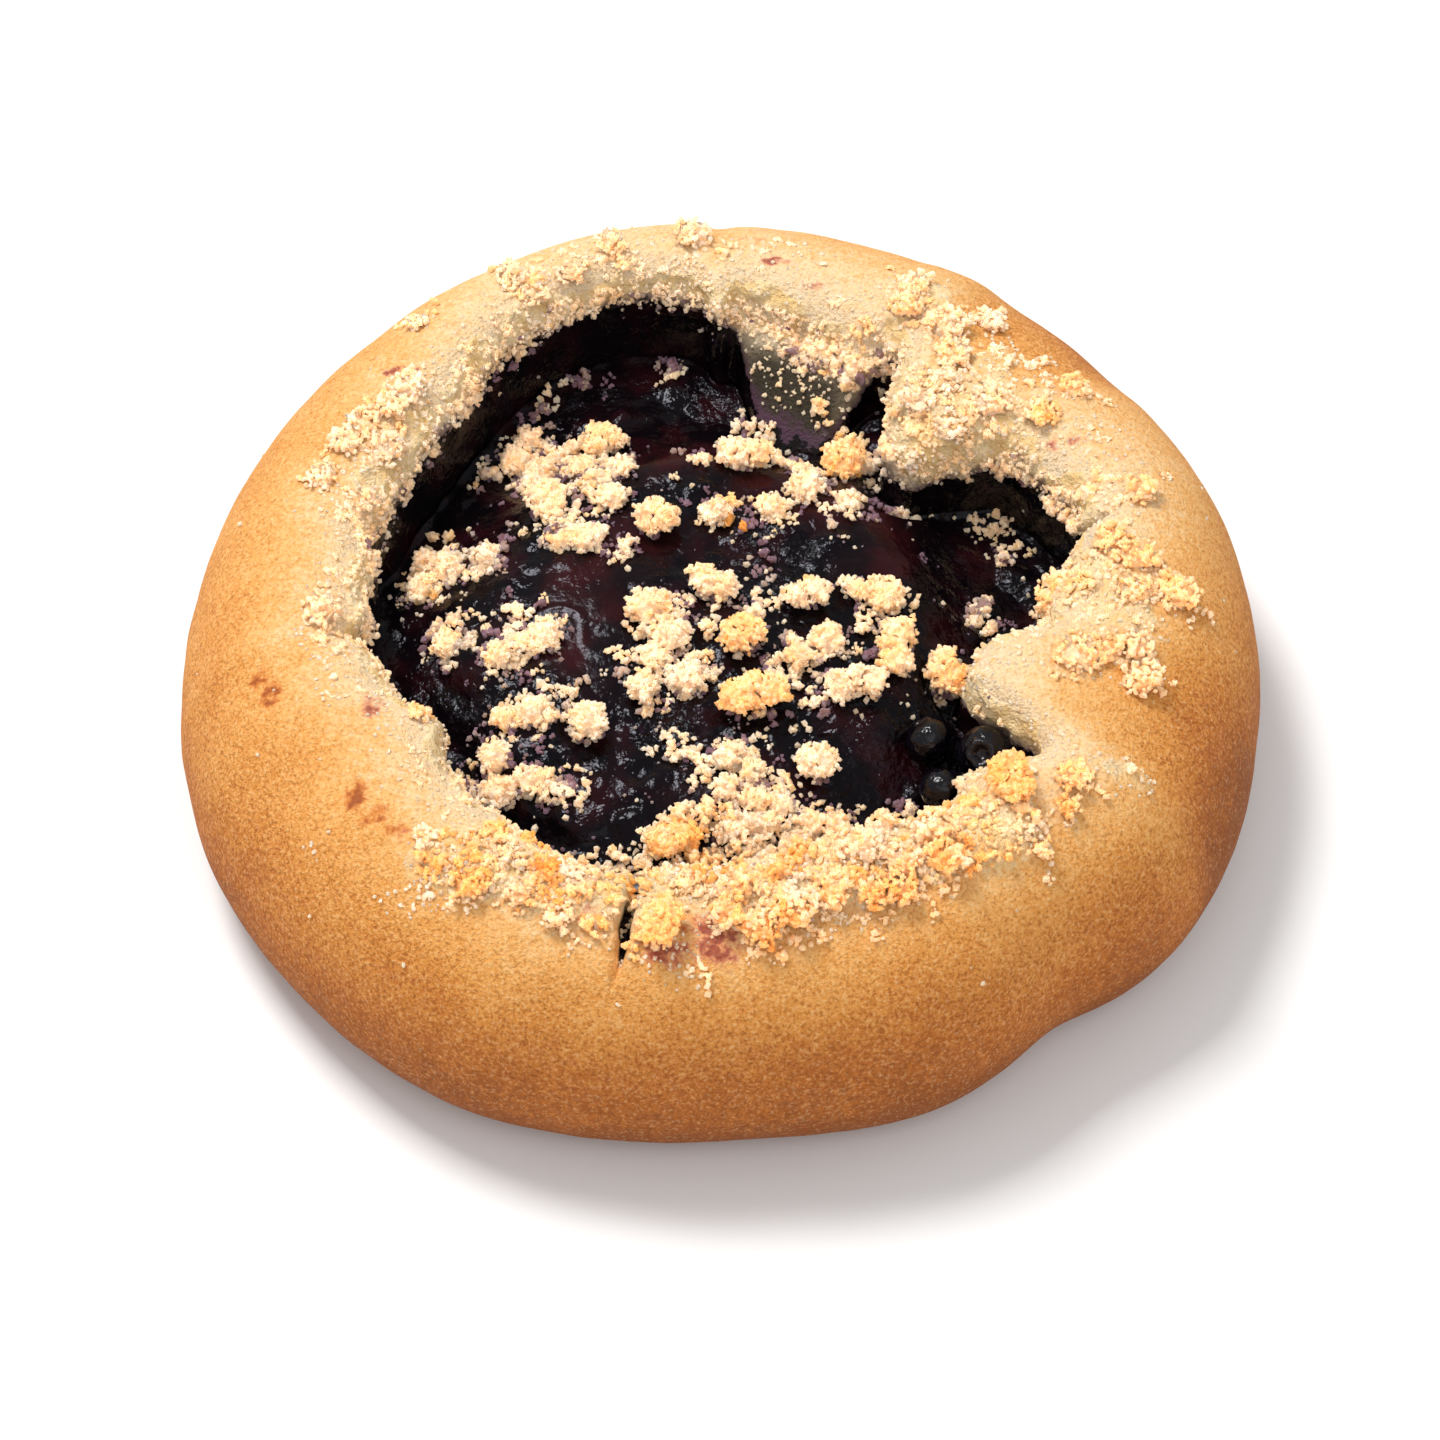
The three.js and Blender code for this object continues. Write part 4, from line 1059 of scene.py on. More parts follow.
# %% Small clumps on the filling
# x, y, size, toast, soak
SMALL_CLUMPS = [
    (0.7, 13.1, 2.6, 0.45, 0), (1.8, 9.8, 2.6, 0.8, 0), (8.4, 18.7, 2.4, 0.15, 0.1),
    (10.4, 18.0, 2.2, 0.1, 0.2), (13.4, 13.9, 3.0, 0.12, 0), (13.8, 11.9, 2.6, 0.1, 0),
    (-4.8, -2.5, 2.8, 0.15, 0), (-1.3, -4.2, 2.6, 0.2, 0), (-7.0, -4.2, 2.6, 0.1, 0.1),
    (-7.0, -7.4, 2.6, 0.15, 0), (-4.8, -9.4, 3.0, 0.1, 0.1), (-1.8, -8.2, 3.4, 0.25, 0),
    (-1.4, -10.4, 2.8, 0.2, 0), (3.6, -1.9, 2.4, 0.15, 0), (6.6, -8.2, 3.4, 0.15, 0),
    (6.8, -10.6, 3.0, 0.1, 0), (9.0, -12.5, 2.8, 0.1, 0.1), (15.1, -2.5, 3.4, 0.15, 0),
    (27.3, 4.9, 2.4, 0.15, 0.4), (27.4, 1.7, 2.6, 0.2, 0.3), (30.0, 12.0, 2.6, 0.15, 0.4),
    (-4.3, -17.6, 2.4, 0.1, 0.2), (-2.6, -19.2, 2.4, 0.1, 0.1), (-1.0, -20.4, 2.7, 0.1, 0.1),
    (0.8, -19.6, 2.4, 0.1, 0.1), (2.5, -18.4, 2.7, 0.1, 0.1), (4.5, -20.6, 2.6, 0.1, 0),
    (5.8, -23.0, 2.8, 0.2, 0), (6.8, -25.7, 2.8, 0.2, 0), (18.1, -23.3, 3.8, 0.1, 0.2),
    (19.4, -27.1, 3.0, 0.2, 0), (-6.7, -30.8, 3.0, 0.3, 0), (-16.6, -14.4, 3.2, 0.15, 0),
    (-15.0, -11.7, 1.8, 0.1, 0), (-16.6, -22.1, 3.2, 0.1, 0.1), (-14.6, -22.6, 2.8, 0.1, 0.1),
    (-10.0, -29.6, 3.2, 0.15, 0), (-28.6, 13.1, 3.2, 0.25, 0), (-30.8, 6.4, 2.6, 0.3, 0.4),
    (-29.7, 4.6, 2.4, 0.6, 0.1), (-26.6, 6.6, 2.6, 0.15, 0.4), (-23.4, 7.6, 2.8, 0.15, 0.1),
    (-28.2, -1.3, 2.2, 0.2, 0.4), (-26.4, -1.2, 2.4, 0.15, 0.3), (-20.2, -1.2, 2.6, 0.12, 0),
    (-20.4, -3.8, 2.2, 0.1, 0), (-20.3, -5.6, 2.0, 0.15, 0.1), (-25.4, -3.6, 2.2, 0.1, 0.5),
    (-26.0, -19.0, 2.2, 0.8, 0), (-26.0, -21.0, 2.2, 0.75, 0), (-29.6, -16.6, 3.0, 0.4, 0),
    (-15.0, 26.7, 2.8, 0.15, 0.3), (-18.6, 27.2, 2.4, 0.1, 0.4), (-20.7, 25.7, 2.4, 0.1, 0.4),
    (-23.5, 23.1, 2.6, 0.15, 0.4), (-16.3, 23.3, 2.8, 0.15, 0.1), (-17.9, 19.3, 2.8, 0.2, 0),
    (-11.8, 17.7, 2.6, 0.2, 0), (-12.7, 15.0, 2.6, 0.2, 0), (-10.6, 20.2, 2.4, 0.15, 0.2),
    (-17.4, 10.7, 2.8, 0.1, 0), (-15.4, 10.4, 2.6, 0.1, 0), (-12.2, 8.8, 3.0, 0.1, 0),
    (-9.0, 7.0, 2.4, 0.1, 0.1), (-1.6, 18.4, 2.2, 0.2, 0.1), (-5.0, 37.9, 2.2, 0.2, 0.8),
    (-14.7, 36.5, 2.2, 0.3, 0.7), (-18.9, 32.3, 2.2, 0.2, 0.7), (-8.0, -44.1, 2.4, 0.5, 0),
    (-11.9, -42.4, 2.6, 0.5, 0), (11.5, 33.1, 2.6, 0.3, 0), (15.0, 33.8, 2.8, 0.35, 0),
    (13.5, 30.6, 2.2, 0.2, 0), (8.6, 33.6, 1.8, 0.2, 0), (2.8, 29.4, 2.4, 0.1, 0.2),
    (5.3, 28.2, 2.2, 0.1, 0.2), (17.6, 31.4, 2.4, 0.2, 0), (2.8, 25.3, 2.0, 0.1, 0.3),
    (3.9, 22.6, 2.4, 0.1, 0.25), (6.3, 20.6, 2.2, 0.15, 0.3), (10.4, 28.8, 2.4, 0.3, 0),
    (12.2, 27.4, 2.2, 0.35, 0), (17.0, 19.0, 2.0, 0.1, 0.3), (19.5, 16.5, 2.4, 0.1, 0.3),
    (15.2, 22.0, 2.2, 0.12, 0.2),
]
small = Crumble()
for x, y, size, toast, soak in SMALL_CLUMPS:
    count = 3 + int(1.5 * size)
    way, far = random.uniform(0, 2 * math.pi, count), random.uniform(0, 1, count) ** 0.6
    places, ups, _ = drop(x + 0.5 * size * far * np.cos(way), y + 0.5 * size * far * np.sin(way))
    places[:, 2] += 0.10 + 0.40 * size * (1 - far**2) * random.uniform(0.3, 1, count)
    shade = np.clip(toast + random.normal(0, 0.06, count), 0, 1)
    damp = np.clip(soak + random.normal(0, 0.15, count), 0, 1)
    small.clusters(places, random.uniform(0.9, 1.5, count), shade, damp, 9)
crumble_small = small.build("crumble_small_clumps")

# %% [markdown]
# Loose grains finish the filling. Single ones lie in drifts, fewer on the smooth skins, and the
# finest have soaked up most juice. Strings of grains run out from every clump.

# %% Loose grains on the filling
POOL_BOX = (0, 0, 36, 38)
loose = Crumble()


def loose_density(x, y):
    near = smooth(layered(flat_places(x, y), 4.0, 67), -0.05, 0.5)
    busy = smooth(np.hypot((x - 3) / 13, (y - 3) / 12), 1.3, 0.3)
    return near * (0.14 + 0.5 * busy) * (1 - 0.8 * patches(SKINS, x, y)) * (np.hypot(x, y) < 34)


places, ups, jam = drop(*scatter(11000, POOL_BOX, loose_density))
places, ups = places[jam], ups[jam]
size = random.uniform(0.26, 0.85, len(places)) ** 1.3
soak = np.clip(random.normal(0.72, 0.3, len(places)) - 1.1 * (size - 0.4), 0, 1)
loose.grains(places + ups * (0.15 * size)[:, None], size, 0.15, soak)

clump_spots = [(row[0], row[1]) for row in SMALL_CLUMPS]
clump_spots = np.concatenate([clump_spots, on_filling.mean(1)[::12, :2]])
for each, steps, sizes, soaked_share in ((3, 9, (0.45, 0.85), 0.35), (3, 5, (0.35, 0.70), 0.7)):
    x, y = around(clump_spots, each, 0.9, 1.1)
    soaked = random.uniform(0, 1, len(x)) < soaked_share
    soak = np.where(soaked, random.uniform(0.55, 1, len(x)), random.uniform(0, 0.4, len(x)))
    chains(loose, x, y, steps, sizes, random.uniform(0.05, 0.3, len(x)), soak, True)
x, y = scatter(2200, POOL_BOX, loose_density)
soak = random.uniform(0.3, 1, len(x))
chains(loose, x, y, 6, (0.35, 0.80), np.full(len(x), 0.1), soak, True)
crumble_loose = loose.build("crumble_loose_on_filling")

# %% [markdown]
# ## Berries
#
# Three berries stay whole at the notch. A blueberry is a slightly flat ball with a crown, the
# dried ring of its flower, round a small pit. All three are one grid of points round the berry's
# axis, pushed in and out by a profile near the crown. Each is then scaled, made a little uneven
# by noise, and tilted.

# %% Berry meshes
CROWNS = {"berry_1": (250, 38), "berry_2": (120, 70), "berry_3": (30, 80)}  # azimuth and tilt
BERRY_SIZES = {"berry_1": 5.6, "berry_2": 4.6, "berry_3": 4.6}
BERRY_RINGS, BERRY_STEPS = 46, 72
FLATNESS = 0.92  # height of a berry as a share of its width


def turned(points, axis, degrees):
    c, s = math.cos(math.radians(degrees)), math.sin(math.radians(degrees))
    rows = {"y": [[c, 0, s], [0, 1, 0], [-s, 0, c]], "z": [[c, -s, 0], [s, c, 0], [0, 0, 1]]}[axis]
    return points @ np.array(rows).T


latitude = np.radians(np.linspace(-88, 89, BERRY_RINGS))[:, None]
longitude = np.radians(np.arange(BERRY_STEPS) * (360 / BERRY_STEPS))[None]
from_crown = np.degrees(np.pi / 2 - latitude)
petals = 1 + 0.10 * np.cos(5 * longitude)
crown_ring = 0.10 * np.exp(-(((from_crown - 25 * petals) / 7) ** 2))
form = 1 + (crown_ring - 0.22 * smooth(from_crown, 24, 8))
unit_berry = np.stack([
    np.cos(latitude) * np.cos(longitude) * form,
    np.cos(latitude) * np.sin(longitude) * form,
    np.sin(latitude) * FLATNESS * form,
], -1)
crown = with_tips(np.broadcast_to(smooth(from_crown, 34, 22), form.shape), 0, 1)

berries = []
for name, (crown_at, crown_tilt) in CROWNS.items():
    low, high = (np.array(corner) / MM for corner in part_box(name))
    ball = BERRY_SIZES[name] / 2
    grid = unit_berry * ball
    uneven = 0.06 * noise(grid + ball * 7, 1.4, 81) + 0.03 * noise(grid, 0.6, 82)
    grid += grid_normals(grid) * uneven[..., None]
    points = closed(grid, grid[0].mean(0), grid[-1].mean(0))
    points = turned(turned(points, "y", crown_tilt), "z", crown_at) + (low + high) / 2
    faces = grid_triangles(BERRY_RINGS, BERRY_STEPS)
    berries.append(make_mesh(name + "_skin", points, faces, {"crown": crown}))

# %% [markdown]
# ## Node helpers
#
# Materials are graphs of nodes. A few short helpers keep their code readable: one makes a node and
# fills or links its sockets, and the others wrap sums, products and mixtures.

# %% Helpers for node trees
def plug(tree, socket, value):
    """Links a value from another node to a socket, or fills in a plain value."""
    if isinstance(value, bpy.types.NodeSocket):
        tree.links.new(value, socket)
    else:
        socket.default_value = value


def node(tree, kind, settings=None, **sockets):
    """A new node. Sockets go by number, such as i0, or by name, with _ for a space."""
    made = tree.nodes.new("ShaderNode" + kind)
    for key, value in (settings or {}).items():
        setattr(made, key, value)
    for key, value in sockets.items():
        name = int(key[1:]) if key[1:].isdigit() else key.replace("_", " ")
        plug(tree, made.inputs[name], value)
    return made


def calc(tree, operation, a, b):
    return node(tree, "Math", {"operation": operation}, i0=a, i1=b).outputs[0]


def plus(tree, a, b):
    return calc(tree, "ADD", a, b)


def times(tree, a, b):
    return calc(tree, "MULTIPLY", a, b)


def rgb(tree, share, a, b):
    """Colour a, mixed with b by a share."""
    return node(tree, "Mix", {"data_type": "RGBA"}, i0=share, i6=a, i7=b).outputs[2]


def blend(tree, share, a, b):
    """Value a, mixed with b by a share."""
    return node(tree, "Mix", i0=share, i2=a, i3=b).outputs[0]


print("sums, products and mixtures:", ", ".join(f.__name__ for f in (plus, times, rgb, blend)))

# %% [markdown]
# The next helpers give a material its values: those of the points, noise in millimetres, soft
# steps, and colours. Colours are written as a screen shows them, since that is how they are
# read off a picture, and turned into the linear numbers that light adds up in.

# %% Helpers for values and colours
def span(tree, value, a, b, low=0.0, high=1.0):
    """Value mapped smoothly from a..b to low..high."""
    settings = {"interpolation_type": "SMOOTHSTEP"}
    return node(tree, "MapRange", settings, i0=value, i1=a, i2=b, i3=low, i4=high).outputs[0]


def attribute(tree, name):
    return node(tree, "Attribute", {"attribute_name": name}).outputs["Fac"]


def millimetres(tree):
    """Places on the object in drawn millimetres."""
    place = node(tree, "TexCoord").outputs["Object"]
    return node(tree, "VectorMath", {"operation": "SCALE"}, i0=place, Scale=1 / MM).outputs[0]


def noise_node(tree, place, size, detail=2.0, roughness=0.5):
    made = node(tree, "TexNoise", i0=place, Scale=1 / size, Detail=detail, Roughness=roughness)
    return made.outputs[0]


def wander(tree, place, size, amount, detail=2.0, roughness=0.5):
    """Noise round 0, which goes up and down by half of the amount at most."""
    level = calc(tree, "SUBTRACT", noise_node(tree, place, size, detail, roughness), 0.5)
    return times(tree, level, amount)


def linear(r, g, b):
    """A colour as seen on a screen, 0 to 255, as the numbers that a shader needs."""
    def channel(c):
        return c / 255 / 12.92 if c <= 10 else ((c / 255 + 0.055) / 1.055) ** 2.4

    return channel(r), channel(g), channel(b), 1


def color_ramp(tree, value, stops):
    """A colour for each value, blended between stops of (value, colour as seen)."""
    ramp = node(tree, "ValToRGB", i0=value)
    elements = ramp.color_ramp.elements
    while len(elements) < len(stops):
        elements.new(0.5)
    for element, (at, color) in zip(elements, stops):
        element.position, element.color = at, linear(*color)
    return ramp.outputs[0]


print("cream, as a shader has it:", [round(c, 3) for c in linear(243, 219, 174)])

# %% [markdown]
# Two more helpers make and use node groups, which are the functions of a node tree, and two start
# and end a material. The height goes through a bump node, which tilts the light's answer
# without moving the mesh.

# %% Helpers for groups and materials
def new_group(name, inputs, outputs):
    """An empty node group with named sockets: (name, kind, default)."""
    tree = bpy.data.node_groups.new(name, "ShaderNodeTree")
    for title, kind, value in inputs:
        socket = tree.interface.new_socket(title, in_out="INPUT", socket_type="NodeSocket" + kind)
        socket.default_value = value
    for title, kind in outputs:
        tree.interface.new_socket(title, in_out="OUTPUT", socket_type="NodeSocket" + kind)
    return tree, tree.nodes.new("NodeGroupInput").outputs, tree.nodes.new("NodeGroupOutput").inputs


def use_group(tree, group, **sockets):
    made = tree.nodes.new("ShaderNodeGroup")
    made.node_tree = group
    for key, value in sockets.items():
        plug(tree, made.inputs[key.replace("_", " ")], value)
    return made.outputs


def new_material(name):
    material = bpy.data.materials.new(name)
    material.use_nodes = True
    tree = material.node_tree
    return material, tree, tree.nodes["Principled BSDF"]


def wire(tree, shader, color, roughness, height):
    """Joins colour, roughness and a height in millimetres to a shader."""
    tree.links.new(color, shader.inputs["Base Color"])
    tree.links.new(roughness, shader.inputs["Roughness"])
    bump = node(tree, "Bump", Strength=1.0, Distance=MM, Height=height)
    tree.links.new(bump.outputs[0], shader.inputs["Normal"])


# %% [markdown]
# ## Two shared effects
#
# Crust and crumble are both made of fine grains, and the filling's wet surface also coats the wall
# of the hollow. Each effect is a node group with named inputs, built once and used by
# every material that needs it.
#
# "Grainy" gives a height like packed sand, a mask of its pores and one of its palest grains. The
# size of its grains is an input, so the places are divided by it before the noise.

# %% The grainy group
grainy, inside, outside = new_group(
    "Grainy",
    [("Grain Size", "Float", 0.4), ("Relief", "Float", 0.1)],
    [("Height", "Float"), ("Pores", "Float"), ("Pale", "Float")],
)
place = millimetres(grainy)
scaled = node(grainy, "VectorMath", {"operation": "DIVIDE"}, i0=place)
size_vector = node(grainy, "CombineXYZ", i0=inside[0], i1=inside[0], i2=inside[0])
grainy.links.new(size_vector.outputs[0], scaled.inputs[1])
sandy = noise_node(grainy, scaled.outputs[0], 0.9, 2.0, 0.7)
level = calc(grainy, "SUBTRACT", sandy, 0.5)
grainy.links.new(times(grainy, level, inside[1]), outside[0])
grainy.links.new(span(grainy, sandy, 0.50, 0.32), outside[1])
grainy.links.new(span(grainy, sandy, 0.52, 0.68), outside[2])
print("the grainy group has", len(grainy.nodes), "nodes")

# %% [markdown]
# "Syrup" gives the colour, the roughness and the height of cooked berry juice. Its input Skin
# blends from a broken surface, near black with wine and mauve streaks, to a dull dried skin, and
# Wet makes the ripples stand higher, so that they glint.

# %% The syrup group
syrup, inside, outside = new_group(
    "Syrup",
    [("Skin", "Float", 0.0), ("Wet", "Float", 0.0)],
    [("Color", "Color"), ("Roughness", "Float"), ("Height", "Float")],
)
place = millimetres(syrup)
broad = noise_node(syrup, place, 5.0, 3.0)
tinted = rgb(syrup, span(syrup, broad, 0.45, 0.70), linear(8, 5, 8), linear(32, 8, 13))
streaks = noise_node(syrup, place, 1.6, 3.0, 0.65)
tinted = rgb(syrup, span(syrup, streaks, 0.60, 0.78, 0.0, 0.4), tinted, linear(54, 28, 48))
dull = rgb(syrup, span(syrup, broad, 0.35, 0.65), linear(20, 9, 12), linear(46, 13, 16))
syrup.links.new(rgb(syrup, inside["Skin"], tinted, dull), outside[0])

breakup = noise_node(syrup, place, 1.1, 2.0)
wet_edge = span(syrup, breakup, 0.35, 0.65, -0.35, 0.35)
wet_spots = span(syrup, plus(syrup, inside["Wet"], wet_edge), 0.3, 0.7)
sheen = span(syrup, breakup, 0.3, 0.7, 0.08, 0.15)
syrup.links.new(plus(syrup, sheen, times(syrup, inside["Skin"], 0.06)), outside[1])

ripple = noise_node(syrup, place, 0.62, 2.0, 0.55)
lumpy = node(syrup, "TexVoronoi", {"feature": "F1"}, Vector=place, Scale=1.2)
height = times(syrup, ripple, 0.25)
height = plus(syrup, height, times(syrup, lumpy.outputs["Distance"], -0.14))
height = times(syrup, height, span(syrup, wet_spots, 0.0, 1.0, 0.40, 1.0))
height = times(syrup, height, span(syrup, inside["Skin"], 0.0, 1.0, 1.0, 0.5))
syrup.links.new(height, outside[2])
print("node groups:", [g.name for g in bpy.data.node_groups])

# %% [markdown]
# ## The crust
#
# Sweet dough stays cream where crumble and steam shaded it, turns golden on the crest and brown on
# the flank, where the tray's heat reached it. A colour ramp over the distance from the lip
# gives that, moved about by noise. Pores darken it and single grains lighten it.

# %% The crust's browning
BAKED = [
    (0.02, (235, 214, 181)), (0.20, (240, 203, 152)), (0.34, (236, 178, 108)),
    (0.46, (228, 160, 83)), (0.58, (216, 141, 63)), (0.73, (190, 110, 43)), (0.92, (146, 78, 29)),
]
FULLY_BAKED = 48  # distance in millimetres at which the ramp ends
crust, tree, shader = new_material("baked_crust")
place = millimetres(tree)
out = attribute(tree, "out")
drift = wander(tree, place, 7.0, 11.0)
spots = wander(tree, place, 0.8, 22.0, 2.0, 0.8)
bake = times(tree, plus(tree, plus(tree, out, drift), spots), 1 / FULLY_BAKED)
baked = color_ramp(tree, bake, BAKED)
sand = use_group(tree, grainy, Grain_Size=0.40, Relief=0.36)
pores = times(tree, sand["Pores"], span(tree, bake, 0.3, 0.7, 0.3, 0.7))
color = rgb(tree, pores, baked, linear(146, 78, 30))
pale = times(tree, sand["Pale"], span(tree, bake, 0.3, 0.9, 0.40, 0.24))
color = rgb(tree, pale, color, linear(250, 214, 158))
# Painted shade: dough in the shade of the hollow is darkened to grey.
color = rgb(tree, times(tree, attribute(tree, "painted_shade"), 0.9), color, linear(54, 47, 36))
print("browning uses", len(tree.nodes), "nodes")

# %% [markdown]
# Near the lip crumbs have melted into the dough, so their colour and coarser grain cover the
# crust there. The stains lie over both: noise added to their strength gives them ragged edges,
# and each is darker inside.

# %% The crust's crumbs and stains
crumbs = use_group(tree, grainy, Grain_Size=0.60, Relief=0.42)
warmth = span(tree, noise_node(tree, place, 3.0, 3.0), 0.35, 0.7)
crumb_tone = rgb(tree, warmth, linear(243, 219, 174), linear(240, 202, 138))
# Painted shade: the hollows between the crumbs' grains are darkened to a warm tan.
crumb_tone = rgb(tree, times(tree, crumbs["Pores"], 0.5), crumb_tone, linear(226, 176, 108))
crumb_mask = span(tree, attribute(tree, "crumbly"), 0.25, 0.75)
crumb_mask = times(tree, crumb_mask, span(tree, bake, 0.15, 0.50, 1.0, 0.25))
color = rgb(tree, crumb_mask, color, crumb_tone)
blotch = wander(tree, place, 1.2, 2.4, 3.0, 0.6)
for name, dark, light in (
    ("brown", linear(146, 54, 20), linear(216, 122, 48)),
    ("wine", linear(140, 40, 46), linear(214, 124, 98)),
):
    strength = plus(tree, attribute(tree, name), blotch)
    inner = rgb(tree, span(tree, strength, 0.6, 1.3), light, dark)
    stain = span(tree, strength, 0.35, 1.1, 0.0, 0.85)
    stain = times(tree, stain, span(tree, attribute(tree, name), 0.0, 0.5))
    color = rgb(tree, stain, color, inner)
print("crumbs and stains bring it to", len(tree.nodes))

# %% [markdown]
# Last comes the syrup dried on the wall of the hollow and in the cracks. A purple fringe lies
# above it, where juice has soaked into the dough. Colour, roughness and height all blend to
# those of the syrup group by one mask.

# %% The crust's dried syrup
ragged = wander(tree, place, 1.3, 3.4, 3.0, 0.65)
coat = plus(tree, attribute(tree, "coat"), ragged)
color = rgb(tree, span(tree, coat, -1.8, -0.1, 0.0, 0.8), color, linear(88, 58, 80))
coated = span(tree, coat, -0.25, 0.25)
coated = calc(tree, "MAXIMUM", coated, span(tree, attribute(tree, "crack"), 0.35, 0.6))
juice = use_group(tree, syrup, Skin=0.0, Wet=0.2)
color = rgb(tree, coated, color, juice["Color"])
matte = span(tree, noise_node(tree, place, 2.0), 0.3, 0.7, 0.74, 0.88)
roughness = blend(tree, coated, matte, juice["Roughness"])
dry_height = plus(tree, sand["Height"], times(tree, crumbs["Height"], crumb_mask))
wire(tree, shader, color, roughness, blend(tree, coated, dry_height, juice["Height"]))
shader.inputs["Specular IOR Level"].default_value = 0.25
print("the crust has", len(tree.nodes), "nodes")

# %% [markdown]
# ## Filling, crumble and berries
#
# The filling is the syrup group with its own maps of dried skins and wet patches. Its glints are
# weaker than those of water and a little bluer.

# %% Filling material
jam, tree, shader = new_material("berry_syrup")
juice = use_group(tree, syrup, Skin=attribute(tree, "skin"), Wet=attribute(tree, "wet"))
wire(tree, shader, juice["Color"], juice["Roughness"], juice["Height"])
shader.inputs["Specular IOR Level"].default_value = 0.12
shader.inputs["Specular Tint"].default_value = (0.86, 0.89, 1.0, 1.0)
print("the filling has", len(tree.nodes), "nodes")

# %% [markdown]
# Crumble runs from cream over gold to orange by its `toast` value, and goes purple and wet where
# `soak` is high. Butter and sugar let light through, so the grains scatter it under their
# surface, which softens their flat faces.

# %% Crumble material
TOASTED = [
    (0.00, (238, 221, 199)), (0.25, (241, 212, 174)), (0.45, (243, 202, 146)),
    (0.65, (242, 184, 108)), (0.90, (230, 152, 72)),
]
crumb, tree, shader = new_material("butter_crumble")
place = millimetres(tree)
toast = plus(tree, attribute(tree, "toast"), wander(tree, place, 0.8, 0.22))
toasted = color_ramp(tree, toast, TOASTED)
bits = use_group(tree, grainy, Grain_Size=0.34, Relief=0.12)
# Painted shade: the hollows between the fine bits are darkened to a warm tan.
color = rgb(tree, times(tree, bits["Pores"], 0.30), toasted, linear(226, 182, 122))
soaked = rgb(tree, noise_node(tree, place, 0.9, 2.0), linear(78, 42, 72), linear(138, 102, 124))
color = rgb(tree, span(tree, attribute(tree, "soak"), 0.25, 0.85, 0.0, 0.92), color, soaked)
roughness = span(tree, attribute(tree, "soak"), 0.2, 0.9, 0.62, 0.30)
wire(tree, shader, color, roughness, bits["Height"])
shader.subsurface_method = "BURLEY"
shader.inputs["Subsurface Weight"].default_value = 1.0
shader.inputs["Subsurface Radius"].default_value = (1.0, 0.72, 0.50)
shader.inputs["Subsurface Scale"].default_value = 1.0 * MM
shader.inputs["Specular IOR Level"].default_value = 0.22
print("the crumble has", len(tree.nodes), "nodes")

# %% [markdown]
# The berries are dark blue under a pale bloom that has worn off in places. The crown and its pit
# are browner, by a value of the points.

# %% Berry material
berry, tree, shader = new_material("berry_skin")
place = millimetres(tree)
bloom = span(tree, noise_node(tree, place, 1.3, 3.0), 0.45, 0.75)
color = rgb(tree, times(tree, bloom, 0.15), linear(7, 5, 10), linear(36, 36, 52))
color = rgb(tree, attribute(tree, "crown"), color, linear(20, 14, 18))
roughness = span(tree, bloom, 0.0, 1.0, 0.10, 0.22)
wire(tree, shader, color, roughness, times(tree, noise_node(tree, place, 0.9, 3.0), 0.22))
shader.inputs["Specular IOR Level"].default_value = 0.30
print("the berries have", len(tree.nodes), "nodes")

# %% [markdown]
# Each mesh gets its one material. All crumble shares one, since its differences ride along as
# values of the points.

# %% Materials on the pieces
crumble_pieces = [
    crumble_lumps, clumps_on_bun, clumps_on_filling, crumble_heaps,
    crumble_rim, crumble_lip_edge, crumble_small, crumble_loose,
]
wears = [(crust, [bun]), (jam, [filling]), (crumb, crumble_pieces), (berry, berries)]
for material, pieces in wears:
    for obj in pieces:
        obj.data.materials.append(material)
all_pieces = [bun, filling, *crumble_pieces, *berries]
print("triangles:", sum(len(obj.data.polygons) for obj in all_pieces))
print("materials:", [material.name for material, _ in wears])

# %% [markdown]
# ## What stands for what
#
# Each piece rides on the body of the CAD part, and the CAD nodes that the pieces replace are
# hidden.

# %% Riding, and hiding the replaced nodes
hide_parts("bun")
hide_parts("filling")
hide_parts(*lump_nodes)
for obj, name in zip(berries, CROWNS):
    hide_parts(name)
for obj in all_pieces:
    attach(obj, "root")
print("pieces that ride on the root:", len(all_pieces))

# %% [markdown]
# ## Floor, light and camera
#
# The bun stands on a plain pale table, which reaches far past the picture's edges.

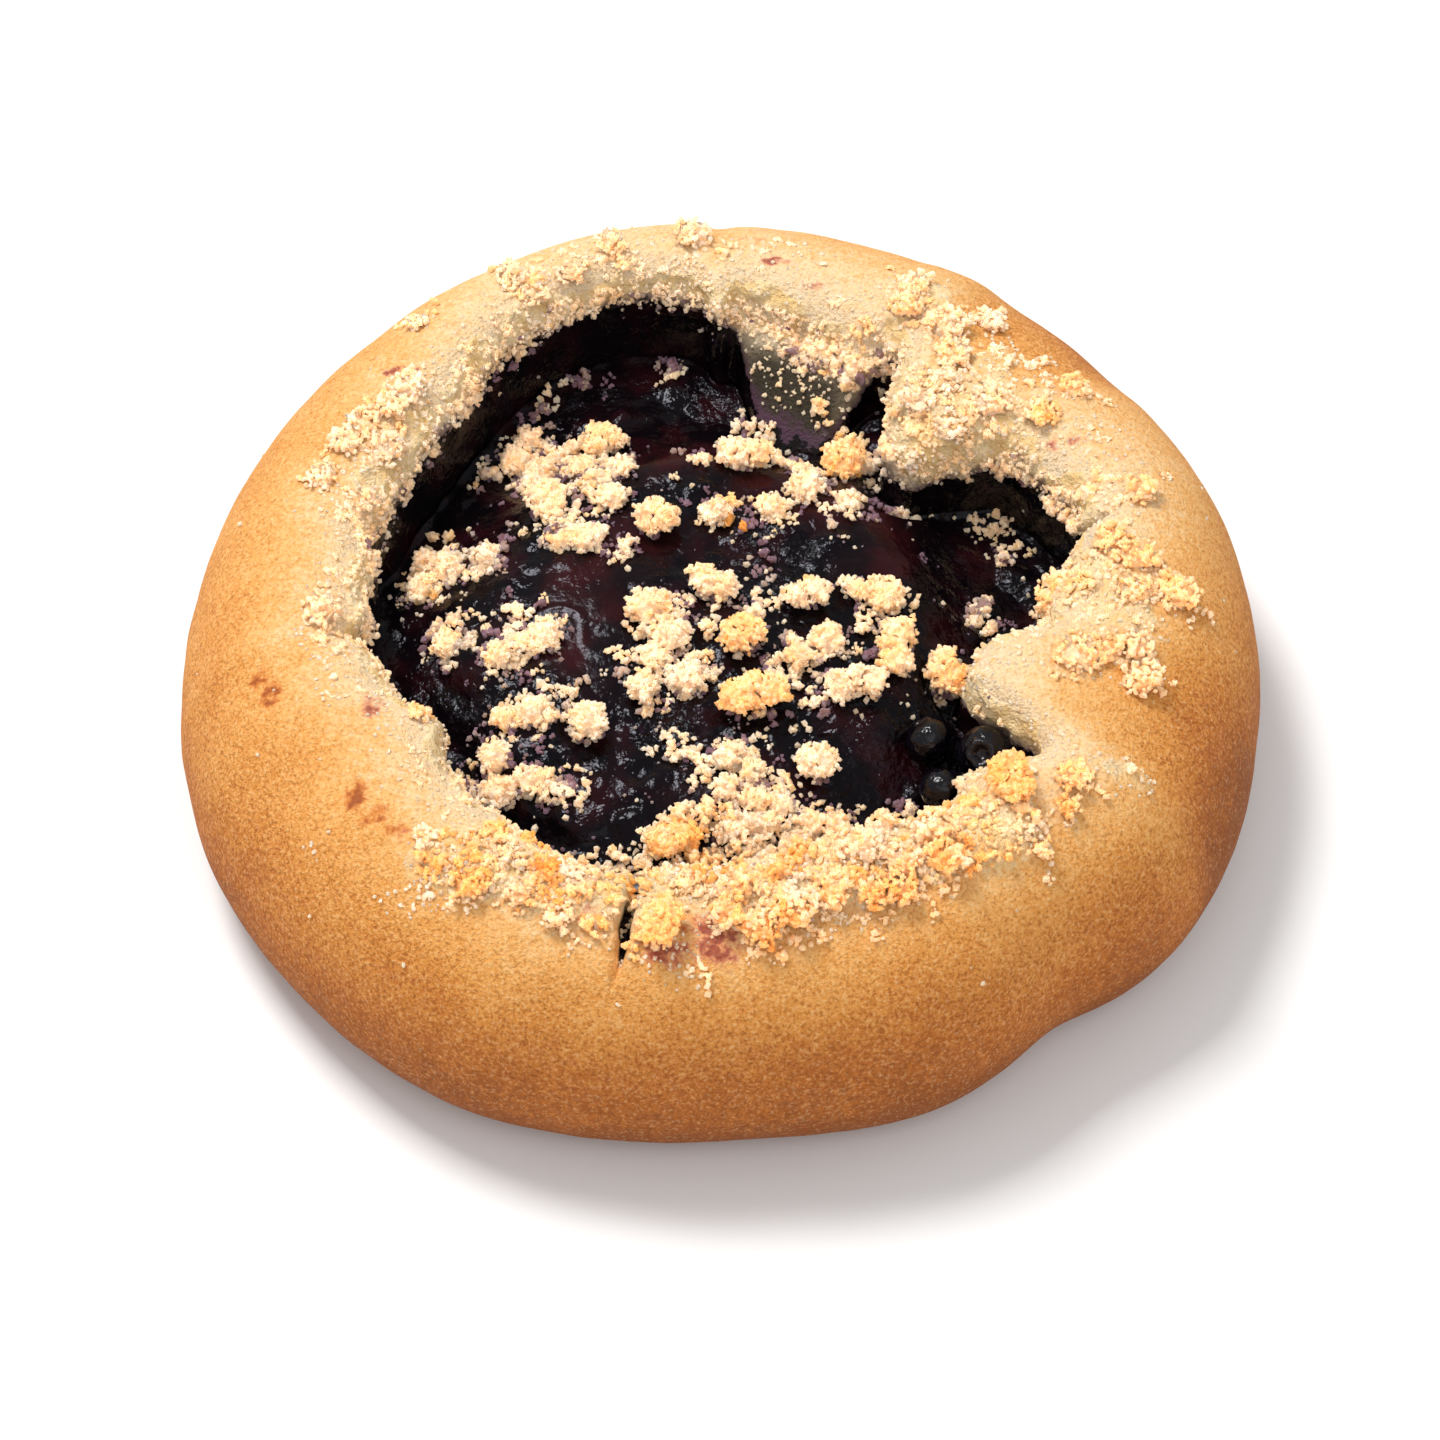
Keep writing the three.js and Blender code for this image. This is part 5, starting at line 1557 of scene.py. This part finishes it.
# %% The table
FLOOR_HALF = 4000
half = FLOOR_HALF * MM
corners = [(-half, -half, 0), (half, -half, 0), (half, half, 0), (-half, half, 0)]
stage_mesh = bpy.data.meshes.new("floor")
stage_mesh.from_pydata(corners, [], [(0, 1, 2, 3)])
floor = bpy.data.objects.new("floor", stage_mesh)
bpy.context.scene.collection.objects.link(floor)
paper, tree, shader = new_material("table")
mottled = noise_node(tree, millimetres(tree), 60.0)
tone = rgb(tree, mottled, (0.86, 0.86, 0.86, 1), (0.88, 0.88, 0.88, 1))
tree.links.new(tone, shader.inputs["Base Color"])
shader.inputs["Roughness"].default_value = 0.9
floor.data.materials.append(paper)
print("the table is", round(2 * half, 2), "m wide")

# %% [markdown]
# A large soft lamp high behind the bun on the left gives the modelling and the glints on the wet
# filling. A weaker, wider one from the front lifts the shaded flank, and an even white world
# fills in the rest.

# %% Lamps and world
def lamp(name, azimuth, elevation, distance, size, watts, color):
    """A square lamp that points at the origin; angles in degrees, lengths in millimetres."""
    data = bpy.data.lights.new(name, "AREA")
    data.shape, data.size, data.energy, data.color = "SQUARE", size * MM, watts, color
    obj = bpy.data.objects.new(name, data)
    a, e = math.radians(azimuth), math.radians(elevation)
    toward = Vector((math.cos(a) * math.cos(e), math.sin(a) * math.cos(e), math.sin(e)))
    obj.location = toward * distance * MM
    obj.rotation_euler = toward.to_track_quat("Z", "Y").to_euler()
    bpy.context.scene.collection.objects.link(obj)


lamp("key", 134, 61, 900, 270, 6.8, (1.0, 0.985, 0.965))
lamp("fill", 290, 50, 1100, 900, 2.7, (0.98, 0.985, 1.0))
world = bpy.data.worlds.new("studio")
bpy.context.scene.world = world
world.use_nodes = True
background = world.node_tree.nodes["Background"]
background.inputs["Color"].default_value = (1, 1, 1, 1)
background.inputs["Strength"].default_value = 0.58
bpy.context.scene.view_settings.view_transform = "Standard"
print("lamps:", [lamp_data.name for lamp_data in bpy.data.lights])

# %% [markdown]
# The camera looks down at 53 degrees, as in the photograph, through a long lens from far off. The
# Standard view keeps the colours as they are, where a filmic one would grey the crumble.

# %% The camera
LOOKS_DOWN, CAMERA_DISTANCE = math.radians(53), 600
camera_data = bpy.data.cameras.new("camera")
camera = bpy.data.objects.new("camera", camera_data)
bpy.context.scene.collection.objects.link(camera)
camera_data.sensor_width, camera_data.lens = 36.0, 146.55
aim = Vector((0.2, -3.11, 7.16)) * MM
back = Vector((0, -math.cos(LOOKS_DOWN), math.sin(LOOKS_DOWN)))
camera.location = aim + back * CAMERA_DISTANCE * MM
camera.rotation_euler = (math.radians(90) - LOOKS_DOWN, 0, 0)
bpy.context.scene.camera = camera
print("camera at", [round(v, 4) for v in camera.location])
